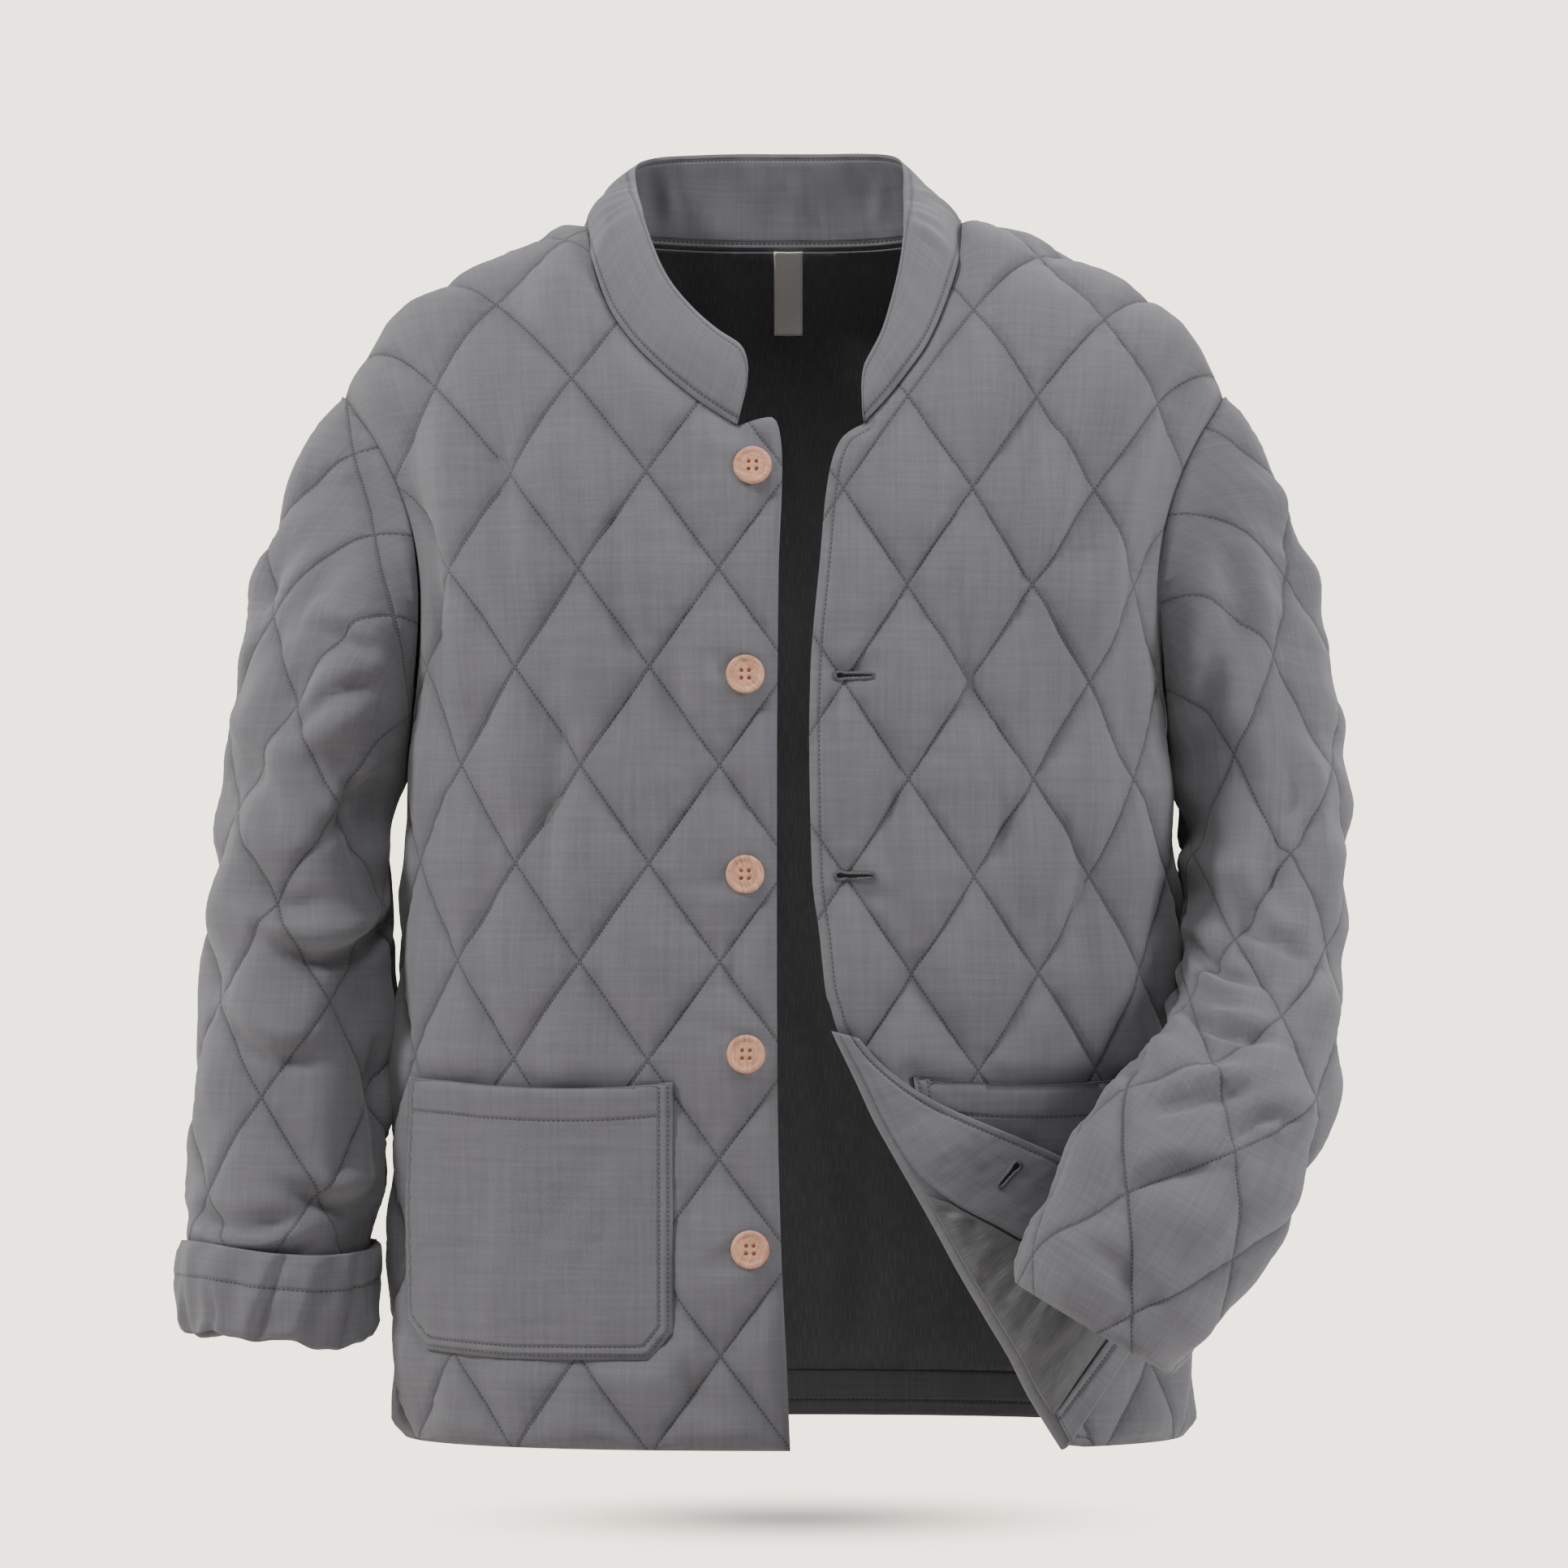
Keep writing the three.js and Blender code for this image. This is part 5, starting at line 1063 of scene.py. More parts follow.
def sleevePiece(name, sleeve, pressed, creases, seed, materials):
    positive = 1 - sleeve["loops"][sleeve["side"] > 0]["finePart"]
    negative = 1 - sleeve["loops"][sleeve["side"] < 0]["finePart"]
    top = np.concatenate([positive * sleeveHalf, -(negative * sleeveHalf)[::-1][1:]])
    seamTop = (sleeve["straight"] + capLength(sleeve, np.array([float(sleeveHalf)])))[0]
    cuffRun = straightPoints([(-sleeveHalf, 0), (sleeveHalf, 0)])
    upRun = straightPoints([(sleeveHalf, 0), (sleeveHalf, seamTop)])
    capRun = np.stack([top, sleeve["straight"] + capLength(sleeve, top)], -1)
    capRun[0], capRun[-1] = (sleeveHalf, seamTop), (-sleeveHalf, seamTop)
    runs = [("hem", cuffRun), ("under", upRun), ("seam", capRun), ("under", upRun[::-1] * (-1, 1))]
    outline = joinRuns([run for _, run in runs])
    lattice = quilting["sleeves"]
    flat, triangles, border = flatMesh(outline, latticeFill(outline, lattice))
    w, l = flat[:, 0], flat[:, 1]
    points, normals = sleevePoints(sleeve, w, l), sleeveNormals(sleeve, w, l)
    gaps = {kind: np.full(len(flat), 1e3) for kind in ("hem", "seam", "under")}
    for kind, run in runs:
        gaps[kind] = np.minimum(gaps[kind], measureLine(run, flat)[0])
    underArm = smoothStep(150 - np.abs(w), 0, 26) + smoothStep(sleeve["straight"] - 30 - l, 0, 30)
    fade = smoothStep(gaps["seam"], 0, 20) * smoothStep(l - pressed, 0, 14) * np.clip(underArm, 0, 1)
    fade = fade * smoothStep(gaps["under"], 0, 12)
    relief = quiltRelief(flat, lattice, sleeveLook, seed) * fade
    soft = smoothStep(gaps["seam"], 2, 26) * smoothStep(l - pressed * 0.6, 0, 12)
    around = np.stack([w, l], -1)
    relief += soft * (sleeveLook["waver"] * softNoise(around, 62, seed + 4)
                      + sleeveLook["folds"] * creaseRelief(flat, creases))
    relief = np.maximum(relief, -4.5)
    relief += rollDown(gaps["seam"], 1.2, 7) + rollDown(gaps["hem"], 1.2, 5) - 0.8 * gauss(gaps["under"] / 2.5)
    outer = points + normals * relief[:, None]
    inner = points - normals * (form["wall"] - np.minimum(relief, 0) * 0.6)[:, None]
    onCap = gaps["seam"] < 0.01
    seam = seamAt(sleeve, w[onCap])
    outer[onCap] = seam["point"] + seam["clear"] * form["seamGap"] / 2
    inner[onCap] = outer[onCap] + seam["across"] * form["wall"]
    weld = (gaps["under"] < 0.01)
    for side in (outer, inner):
        left = np.nonzero(weld & (w < 0))[0]
        right = np.nonzero(weld & (w > 0))[0]
        for a in left:
            b = right[np.argmin(np.abs(l[right] - l[a]))]
            side[a] = side[b]
    quilt = np.stack(quiltPlace(flat, lattice), -1)
    edgeMap = np.stack([w, gaps["hem"]], -1)
    insidePaint = np.where(flat[triangles][:, :, 1].mean(axis=1) < 26, 0, 1)
    return shellPiece(name, flat, triangles, border, outer, inner,
                      [("cloth", metres(flat)), ("quilt", quilt), ("edge", metres(edgeMap))],
                      materials, insidePaint, weld)


rightSleeve = makeSleeve(-1, hangingSleeve)
leftSleeve = makeSleeve(1, bentSleeve)


def seenCrease(sleeve, path, width, depth, side=1):
    return {"path": seenOnSleeve(sleeve, path), "width": width, "depth": depth, "side": side}


rightCreases = [seenCrease(rightSleeve, *row) for row in (
    ([(-268, -238), (-245, -252), (-231, -258)], 6, 4.5), ([(-282, -300), (-258, -282), (-236, -276)], 7, 4.5, -1),
    ([(-300, -418), (-275, -430), (-252, -428), (-225, -405)], 6, 5), ([(-310, -385), (-285, -400), (-262, -396)], 7, 3.6, -1),
    ([(-262, -360), (-246, -342), (-232, -330)], 6, 4.2), ([(-318, -470), (-290, -488), (-262, -484)], 7, 3.2),
    ([(-330, -598), (-300, -606), (-268, -596)], 6, 4.5), ([(-338, -575), (-312, -588), (-288, -586)], 6, 3.5, -1),
    ([(-290, -560), (-262, -574), (-240, -570)], 6, 3.8), ([(-240, -470), (-238, -520), (-241, -560)], 7, 3.5),
    ([(-262, -310), (-250, -345), (-247, -380)], 8, 3.0, -1), ([(-322, -300), (-300, -330), (-292, -362)], 9, 2.4))]
rightCreases += [{"path": [(-60 - a, b), (-90 - a, b - 14), (-130 - a, b - 6)], "width": 7, "depth": d, "side": s}
                 for a, b, d, s in ((0, 430, 4, 1), (-30, 360, 3.5, -1), (10, 280, 4.5, 1), (-20, 215, 3.4, -1),
                                    (0, 130, 3.5, 1), (-40, 78, 4.2, 1), (20, 60, 3.6, -1))]
leftCreases = [seenCrease(leftSleeve, *row) for row in (
    ([(205, -516), (222, -512), (248, -504), (266, -502)], 6, 5), ([(256, -528), (270, -520), (284, -522)], 6, 4.2, -1),
    ([(250, -190), (262, -230), (258, -270)], 9, 3.4), ([(238, -230), (246, -270), (242, -320)], 9, 4, -1),
    ([(296, -330), (282, -372), (288, -410)], 8, 2.8), ([(262, -395), (276, -420), (300, -432)], 7, 3.2),
    ([(238, -420), (252, -440), (270, -446)], 6, 3.8, -1), ([(232, -462), (250, -474), (280, -478)], 6, 4.0),
    ([(196, -560), (214, -548), (236, -546)], 6, 3.0), ([(168, -590), (186, -600), (206, -620)], 7, 2.4, -1),
    ([(280, -300), (292, -330), (302, -372)], 9, 2.6))]
leftCreases += [{"path": [(70 + a, b), (100 + a, b - 14), (140 + a, b - 4)], "width": 7, "depth": d, "side": s}
                for a, b, d, s in ((0, 480, 3.6, 1), (-30, 400, 3.4, -1), (10, 320, 4.4, 1), (-20, 262, 4.0, -1),
                                   (0, 205, 4.6, 1), (-30, 130, 3.2, 1), (20, 70, 2.6, -1))]
sleeveRight = sleevePiece("sleeve_right_cloth", rightSleeve, 58, rightCreases, 51, [quiltedCloth, liningCloth])
place(sleeveRight, "sleeve_right", "outer_cloth")
sleeveLeft = sleevePiece("sleeve_left_cloth", leftSleeve, 0, leftCreases, 67, [quiltedCloth, liningCloth])
place(sleeveLeft, "sleeve_left", "outer_cloth")
print("sleeves made", len(sleeveRight.data.polygons), len(sleeveLeft.data.polygons))

# Rolled cuff: the sleeve's end turned outward, a slack doubled band
cuffLook = {"wave": 3.4, "lumps": 1.6}


def makeCuff(sleeve):
    around, up = 168, 26
    w = np.linspace(-sleeveHalf, sleeveHalf, around + 1)[:-1]
    turn = np.linspace(0, 1, up)
    # from the foot under the band, over the lower roll, up the face, over the upper roll
    level = np.interp(turn, [0, 0.1, 0.2, 0.32, 0.8, 0.93, 1], [2, -5, -8, -3, 38, 44, 41])
    off = np.interp(turn, [0, 0.1, 0.2, 0.32, 0.55, 0.8, 0.93, 1], [0.9, 1.6, 5.0, 7.6, 8.6, 8.2, 6.4, 1.6])
    wave = cuffLook["wave"] * np.sin(w / sleeveHalf * math.pi * 2 + 0.6)
    grid = np.stack([np.repeat(w, up), np.tile(turn, around) * 60], -1)
    lumps = cuffLook["lumps"] * softNoise(grid, 34, 81) + 0.35 * softNoise(grid, 15, 82, (1, 3))
    pleats = creaseRelief(grid, [
        {"path": [(84, 14), (92, 34), (104, 56)], "width": 3.4, "depth": 4.0},
        {"path": [(52, 8), (56, 24), (54, 40)], "width": 3.0, "depth": 2.8, "side": -1},
        {"path": [(112, 10), (116, 26), (126, 44)], "width": 3.2, "depth": 3.2},
        {"path": [(30, 10), (26, 22), (28, 34)], "width": 3.0, "depth": 2.2},
        {"path": [(140, 12), (146, 30), (150, 52)], "width": 3.6, "depth": 3.0, "side": -1},
        {"path": [(-40, 10), (-46, 30), (-42, 50)], "width": 3.4, "depth": 2.8},
        {"path": [(-96, 8), (-92, 28), (-104, 48)], "width": 3.6, "depth": 3.0, "side": -1},
        {"path": [(-150, 12), (-146, 30), (-152, 50)], "width": 3.2, "depth": 2.4}])
    stitched = -0.8 * gauss((np.tile(level, around) - 25) / 1.6)
    swell = (lumps + pleats + stitched) * np.tile(np.interp(off, [1, 6], [0.1, 1]), around)
    droop = softNoise(np.stack([w, w * 0], -1), 58, 86) * 2.6 + softNoise(np.stack([w, w * 0], -1), 23, 87) * 0.8
    sag = np.repeat(droop, up) * np.tile(gauss((turn - 0.2) / 0.3), around)
    l = np.tile(level, around) + np.repeat(wave, up) + sag
    base = sleevePoints(sleeve, grid[:, 0], np.maximum(l, 0))
    base[:, 2] += np.minimum(l, 0)
    normal = sleeveNormals(sleeve, grid[:, 0], np.maximum(l, 2))
    outer = base + normal * np.maximum(np.tile(off, around) + swell, 1.0)[:, None]
    footLevel = np.tile(np.clip(level, -4, 40), around) + np.repeat(wave, up)
    inner = sleevePoints(sleeve, grid[:, 0], np.maximum(footLevel, 0))
    inner[:, 2] += np.minimum(footLevel, 0)
    inner += sleeveNormals(sleeve, grid[:, 0], np.maximum(footLevel, 2)) * 0.45
    shape = (around, up)
    cloth = metres(np.stack([grid[:, 0], np.tile(level, around)], -1)).reshape(*shape, 2)
    edge = metres(np.stack([grid[:, 0], 25 - np.tile(level, around) + 8], -1)).reshape(*shape, 2)
    return gridPiece("cuff_right_cloth", outer.reshape(*shape, 3), inner.reshape(*shape, 3), True,
                     [("cloth", cloth), ("edge", edge)], [bandCloth])


def closeMaps(piece, width):
    # the last column of a ring carries on past the map's end instead of running back across it
    for layer in piece.data.uv_layers:
        for face in piece.data.polygons:
            across = [layer.data[i].uv[0] for i in face.loop_indices]
            if max(across) - min(across) > width / 2:
                for i in face.loop_indices:
                    if layer.data[i].uv[0] < 0:
                        layer.data[i].uv[0] += width


cuffRight = place(makeCuff(rightSleeve), "cuff_right", "outer_cloth")
closeMaps(cuffRight, 2 * sleeveHalf / 1000)
print("cuff made")

# Stand collar: up from the neck seam, softly padded, its ends cut round
collarLook = {"bow": 3.5, "pad": 1.5, "ripple": 1.1, "endRound": 17, "across": 17}


def makeCollar():
    runs = []
    for neck, onFront in ((neckButtonSide, True), (neckBack, False), (neckHoleSide[::-1], True)):
        cloth = rowsToCloth(neck[:, :2], onFront)
        runs.append((cloth, neck[:, 2:]))
    points, tops, normals = [], [], []
    for k, (cloth, top) in enumerate(runs):
        points.append(bodyPoints(cloth[:, 0], cloth[:, 1]))
        normals.append(bodyNormals(cloth[:, 0], cloth[:, 1]))
        tops.append(top)
        if k < 2:
            u, corner = shoulderNeck["buttonSide" if k == 0 else "holeSide"]
            u = np.array([float(u)])
            points.append(bodyPoints(u, topCloth(u)))
            normals.append(bodyNormals(u, topCloth(u)))
            tops.append(np.array([corner], float))
    rows = np.concatenate([np.concatenate(points), np.concatenate(tops), np.concatenate(normals)], axis=1)
    feet = throughPoints(rows[:, :3], 3.2)
    steps = measureAlong(rows[:, :3])
    fine = measureAlong(feet)
    fine = fine / fine[-1] * steps[-1]
    top = np.stack([smoothAlong(steps, rows[:, k], fine) for k in (3, 4, 5)], -1)
    normal = unit(np.stack([smoothAlong(steps, rows[:, k], fine) for k in (6, 7, 8)], -1))
    along = unit(np.gradient(feet, axis=0))
    climb = unit(top - feet)
    toward = unit(np.cross(normal, along))
    toward *= np.where((toward * climb).sum(axis=1) < -0.2, -1, 1)[:, None]
    facing = unit(np.cross(climb, along))
    facing *= np.where((facing * normal).sum(axis=1) < 0, -1, 1)[:, None]
    part = np.linspace(0, 1, collarLook["across"])
    part = part - 0.06 * np.sin(2 * math.pi * part)
    height = np.linalg.norm(top - feet, axis=1)
    fromEnd = np.minimum(fine, fine[-1] - fine)
    reach = collarLook["endRound"]
    drop = reach - np.sqrt(np.maximum(0, reach ** 2 - np.maximum(0, reach - fromEnd) ** 2))
    full = 1 - np.clip(drop / height, 0, 0.8)
    level = full[:, None] * part[None, :]
    outer = feet[:, None] + (top - feet)[:, None] * level[..., None]
    grid = np.stack([np.repeat(fine, len(part)), (level * height[:, None]).ravel()], -1)
    inBack = smoothStep(1 - np.abs(np.repeat(fine, len(part)) / fine[-1] - 0.5) * 3.2, 0, 0.5)
    ripples = (0.5 + 0.9 * inBack) * collarLook["ripple"] * softNoise(grid, 26, 91, (0.8, 2.6))
    ripples += creaseRelief(grid, [
        {"path": [(fine[-1] * a, 12), (fine[-1] * a + b, 26), (fine[-1] * a + 1.4 * b, 40)], "width": 4, "depth": d}
        for a, b, d in ((0.36, 5, 2.2), (0.43, -6, 1.8), (0.55, -9, 2.6), (0.6, 6, 2.0), (0.68, -5, 2.2),
                        (0.24, 4, 1.5), (0.12, 3, 1.2), (0.84, -3, 1.5))])
    ripples = ripples.reshape(level.shape)
    fade = (np.sin(math.pi * np.clip(level / full[:, None], 0, 1)) ** 0.6)
    fade *= smoothStep(fromEnd, 0, 12)[:, None] * 0.9 + 0.1
    bow = collarLook["bow"] * np.sin(math.pi * level)
    away = toward[:, None] * form["seamGap"]
    rim = gauss((level / full[:, None] - 1) * height[:, None] / 3.2)
    foot = gauss(level * height[:, None] / 3.0)
    face = bow + (collarLook["pad"] + ripples) * fade - 1.1 * rim - 0.8 * foot * (level > 0)
    back = bow - form["wall"] - (collarLook["pad"] * 0.5 - ripples * 0.8) * fade + 1.1 * rim
    outerPoints = outer + facing[:, None] * face[..., None] + away
    innerPoints = outer + facing[:, None] * back[..., None] + away
    footWay = normal[:, None] * (foot * 0 + 1)[..., None]
    blend = smoothStep(level * height[:, None], 0, 10)[..., None]
    innerFoot = outer - footWay * form["wall"] + away
    innerPoints = innerFoot * (1 - blend) + innerPoints * blend
    cloth = metres(np.stack([grid[:, 0], grid[:, 1]], -1)).reshape(*level.shape, 2)
    fromTop = ((full[:, None] - level) * height[:, None])
    edge = metres(np.stack([grid[:, 0], fromTop.ravel()], -1)).reshape(*level.shape, 2)
    hem = cloth.copy()
    return gridPiece("collar_cloth", outerPoints, innerPoints, False,
                     [("cloth", cloth), ("edge", edge), ("hem", hem)], [collarCloth])


def measureAlong(points):
    return np.concatenate([[0], np.cumsum(np.linalg.norm(np.diff(points, axis=0), axis=1))])


def smoothAlong(steps, values, at):
    line = throughPoints(np.stack([steps, values], -1), 2.0)
    return np.interp(at, line[:, 0], line[:, 1])


collar = place(makeCollar(), "collar", "outer_cloth")
print("collar made")

# Patch pockets: flat cloth, two rows of stitches round sides and foot, turned hem at the mouth
pocketLook = {"off": 3.3, "under": 0.5, "belly": 2.2, "mouth": 3.2, "fold": 1.3}


def makePocket(name, outline, mouthCount, creases, seed):
    # the mouth is the run of the first points, measured in cloth coordinates
    flat, triangles, border = flatMesh(outline, evenFill(outline, 3.6))
    points, normals = bodyPoints(flat[:, 0], flat[:, 1]), bodyNormals(flat[:, 0], flat[:, 1])
    mouth, sides = outline[:mouthCount], np.concatenate([outline[mouthCount - 1:], outline[:1]])
    fromMouth, alongMouth, _ = measureLine(mouth, flat)
    fromSide, alongSide, _ = measureLine(sides, flat)
    swell = smoothStep(fromSide, 6, 40)
    relief = pocketLook["belly"] * swell * (0.6 + 0.5 * softNoise(flat, 90, seed))
    relief += swell * creaseRelief(flat, creases) + 0.25 * softNoise(flat, 12, seed + 1)
    relief += smoothStep(fromSide, 3, 26) * gauss(fromMouth / 15) * pocketLook["mouth"]
    relief += pocketLook["fold"] * smoothStep(19 - fromMouth, -0.8, 0.8) * 0.45
    for row, depth in ((2.4, 0.7), (7.2, 1.0)):
        relief -= depth * gauss((fromSide - row) / 1.1)
    relief -= 0.5 * gauss((fromMouth - 18.5) / 1.1)
    relief += 0.5 * gauss((fromSide - 4.8) / 1.6)
    relief += rollDown(np.minimum(fromSide, fromMouth), 0.9, 1.8)
    outer = points + normals * (pocketLook["off"] + relief)[:, None]
    under = pocketLook["under"] + np.maximum(0, relief - 1.2)
    inner = points + normals * under[:, None]
    edge = np.stack([alongSide, np.where(fromMouth < 0.5, 0.5, fromSide)], -1)
    hem = np.stack([alongMouth, fromMouth + np.where(fromSide < 7.2, 500, 0)], -1)
    return shellPiece(name, flat, triangles, border, outer, inner,
                      [("cloth", metres(flat)), ("edge", metres(edge)), ("hem", metres(hem))],
                      [pocketClothLook])


def pocketOutline(shape, mirror, mouthPoints):
    corners = rowsToCloth(np.array(shape, float) * (mirror, 1))
    mouth = throughPoints(corners[:mouthPoints], 3.6)
    rest = straightPoints(np.concatenate([corners[mouthPoints - 1:], corners[:1]]), 3.6)
    return np.concatenate([mouth[:-1], rest[:-1]]), len(mouth)


rightOutline, rightMouth = pocketOutline(pocketShape, -1, 6)
leftOutline, leftMouth = pocketOutline(foldedPocketShape, 1, 6)
rightPocketFolds = [
    {"path": rowsToCloth([(-82, -522), (-112, -560), (-146, -610)]), "width": 13, "depth": 2.6},
    {"path": rowsToCloth([(-84, -560), (-104, -588), (-124, -622)]), "width": 9, "depth": 1.8, "side": -1},
    {"path": rowsToCloth([(-172, -540), (-176, -580), (-180, -632)]), "width": 10, "depth": 1.8}]
leftPocketFolds = [
    {"path": rowsToCloth([(100, -520), (140, -540), (180, -600)]), "width": 11, "depth": 1.8}]
pocketRightPiece = place(makePocket("pocket_right_cloth", rightOutline, rightMouth, rightPocketFolds, 103),
                         "pocket_right", "outer_cloth")
pocketLeftPiece = place(makePocket("pocket_left_cloth", leftOutline, leftMouth, leftPocketFolds, 107),
                        "pocket_left", "outer_cloth")
print("pockets made")

# Turned corner of the buttonhole side: the front's own cloth, then facing, lining and hem
turnedEdge = [(30, -455), (38, -470), (53, -488), (67, -500), (86, -512), (110, -523), (133, -533),
              (159, -546), (180, -562), (198, -580), (210, -596), (219, -613)]
facingSeam = [(68, -541), (78, -557), (98, -572), (117, -582), (135, -592), (160, -602), (196, -622)]
turnUpLine = [(151, -688), (177, -652), (195, -628)]


def evenStations(table, count):
    line = throughPoints(np.asarray(table, float), 1.5)
    steps = measureAlong(line)
    at = np.linspace(0, steps[-1], count)
    return np.stack([np.interp(at, steps, line[:, k]) for k in (0, 1)], -1)


def overFront(x, z, off):
    cloth = clothAt(x.ravel(), z.ravel())
    points = bodyPoints(cloth[:, 0], cloth[:, 1]) + bodyNormals(cloth[:, 0], cloth[:, 1]) * off.ravel()[:, None]
    return points.reshape(*x.shape, 3)


def makeRuled(name, first, second, look, materials, relief=None, insidePaint=0):
    along, across = look["along"], look["across"]
    a, b = evenStations(first, along), evenStations(second, along)
    low, high = look.get("margin", (0, 0))
    t = np.linspace(low, 1 - high, across)
    x = a[:, :1] + (b[:, :1] - a[:, :1]) * t
    z = a[:, 1:] + (b[:, 1:] - a[:, 1:]) * t
    far = np.linalg.norm(b - a, axis=1)[:, None]
    seen = np.stack([np.repeat(measureAlong(a), across), (t[None, :] * far).ravel()], -1)
    rise = np.zeros(len(seen)) if relief is None else relief(seen, np.repeat(far.ravel(), across))
    rise = rise.reshape(x.shape)
    fromRim = np.minimum(t[None, :] * far, (1 - t)[None, :] * far)
    fromEnd = measureAlong(a)[:, None] + 0 * x
    fromEnd = np.minimum(fromEnd, fromEnd.max() - fromEnd)
    soften = smoothStep(np.minimum(fromRim, fromEnd), 0, 7)
    rise = rise * soften
    outerOff = look["outer"] + rise
    innerOff = look["inner"] + np.maximum(0, rise) * 0.8
    if look.get("lip"):
        # round the fold: centre between the two layers
        turn = np.radians(np.array([-50, -25, 0, 25, 50, 72]))
        bend = look["lip"]
        size = np.maximum(far, 1e-3)
        dx, dz = (b - a)[:, :1] / size, (b - a)[:, 1:] / size
        shift = -bend * np.cos(turn)[None, :] * np.ones_like(far)
        middle = (look["outer"] - 2.6) / 2
        lipOff = middle + (look["outer"] - middle) * np.sin(turn)[None, :] + 0 * far
        innerShift, innerLip = shift * 0.35, middle + (look["inner"] - middle) * np.sin(turn)[None, :] + 0 * far
        x2, z2 = a[:, :1] + dx * innerShift, a[:, 1:] + dz * innerShift
        innerPoints = np.concatenate([overFront(x2, z2, innerLip), overFront(x, z, innerOff)], axis=1)
        x1, z1 = a[:, :1] + dx * shift, a[:, 1:] + dz * shift
        outerPoints = np.concatenate([overFront(x1, z1, lipOff), overFront(x, z, outerOff)], axis=1)
        x, z = np.concatenate([x1, x], axis=1), np.concatenate([z1, z], axis=1)
        away = np.concatenate([shift, t[None, :] * far], axis=1)
    else:
        outerPoints, innerPoints = overFront(x, z, outerOff), overFront(x, z, innerOff)
        away = t[None, :] * far
    run = measureAlong(a)[:, None] + 0 * x
    cloth = metres(np.stack([run, away], -1))
    edge = metres(np.stack([run, far - away], -1))
    quilt = np.full((*x.shape, 2), 0.5)
    return gridPiece(name, outerPoints, innerPoints, False,
                     [("cloth", cloth), ("edge", edge), ("quilt", quilt)], materials, insidePaint)


def facingRelief(seen, far):
    waves = 0.9 * softNoise(seen, 40, 121, (1.6, 1)) + 0.3 * softNoise(seen, 14, 122)
    return waves + 0.7 * np.sin(math.pi * np.clip(seen[:, 1] / far, 0, 1)) - 1.0 * gauss((far - seen[:, 1] - 5) / 1.2)


def liningRelief(seen, far):
    waves = 1.5 * softNoise(seen, 26, 131, (0.7, 3.0)) + 0.5 * softNoise(seen, 11, 132, (1, 2))
    return waves + 1.2


foldStart = foldLine[1:]
turnedStart = [(42, -475)] + turnedEdge[2:]
cornerBase = makeRuled("front_left_turned_cloth", foldStart, turnedStart, {
    "along": 90, "across": 34, "outer": 8.0, "inner": 4.8, "lip": 4.4}, [facingCloth])
place(cornerBase, "front_left_turned", "outer_cloth")
facingStart = foldLine[1:5] + facingSeam[1:]
facing = makeRuled("facing_left_cloth", facingStart, turnedStart, {
    "along": 90, "across": 26, "outer": 10.2, "inner": 8.5, "margin": (0.02, 0.0)}, [facingCloth], facingRelief)
place(facing, "facing_left", "outer_cloth")
cornerLining = makeRuled(
    "lining_left_cloth", [(79, -564)] + foldLine[5:11], [(93, -569)] + facingSeam[2:],
    {"along": 70, "across": 34, "outer": 9.6, "inner": 8.5, "margin": (0.01, 0.03)}, [liningCloth], liningRelief)
place(cornerLining, "lining_left", "lining")
cornerHem = makeRuled(
    "hem_facing_left_cloth", [(160, -706), (188, -663), (212, -629)], turnUpLine,
    {"along": 40, "across": 14, "outer": 10.0, "inner": 8.5, "margin": (0.0, 0.06)}, [facingCloth], facingRelief)
place(cornerHem, "hem_facing_left", "outer_cloth")
print("turned corner made")

# Inside of the back: satin lining that hangs in soft folds, turned-up hem, bare neck tab
insideLook = {"near": 3.8, "turnUp": 27, "folds": 1.4}
insideFolds = [{"path": [(600 + u, 640), (600 + u + du, 520), (600 + u + 1.6 * du, 380)], "width": w, "depth": d}
               for u, du, w, d in ((-70, -14, 9, 3.4), (-40, 10, 7, 2.6), (44, -8, 8, 3.0), (78, 16, 9, 3.4),
                                   (18, 6, 7, 2.2), (-96, 8, 8, 2.6))]
insideFolds += [{"path": [(600 + u, 300), (600 + u + du, 180), (600 + u + 1.3 * du, 60)], "width": w, "depth": d}
                for u, du, w, d in ((-60, 12, 9, 2.6), (-20, -8, 8, 2.2), (30, 10, 9, 2.8), (70, -10, 8, 2.4),
                                    (110, 12, 9, 2.6), (150, -6, 9, 2.2))]


def makeInside(name, outline, thick, fillSpacing, look, materials, seed):
    flat, triangles, border = flatMesh(outline, evenFill(outline, fillSpacing))
    u = aroundBody(flat[:, 0])
    points, normals = bodyPoints(u, flat[:, 1]), bodyNormals(u, flat[:, 1])
    gap = measureLine(outline, flat, True)[0]
    relief = smoothStep(gap, 0, 18) * (look["folds"] * (0.9 + softNoise(flat, 60, seed, (0.6, 2.6)))
                                       - creaseRelief(flat, look["creases"]) * 0.8)
    relief = np.maximum(relief, 0)
    near = points - normals * insideLook["near"]
    far = near - normals * (thick + relief)[:, None]
    edge = np.stack([flat[:, 0], look["edgeTop"] - flat[:, 1]], -1)
    return shellPiece(name, flat, triangles, border, far, near + (far - near) * 0.15,
                      [("cloth", metres(flat)), ("edge", metres(edge))], materials)


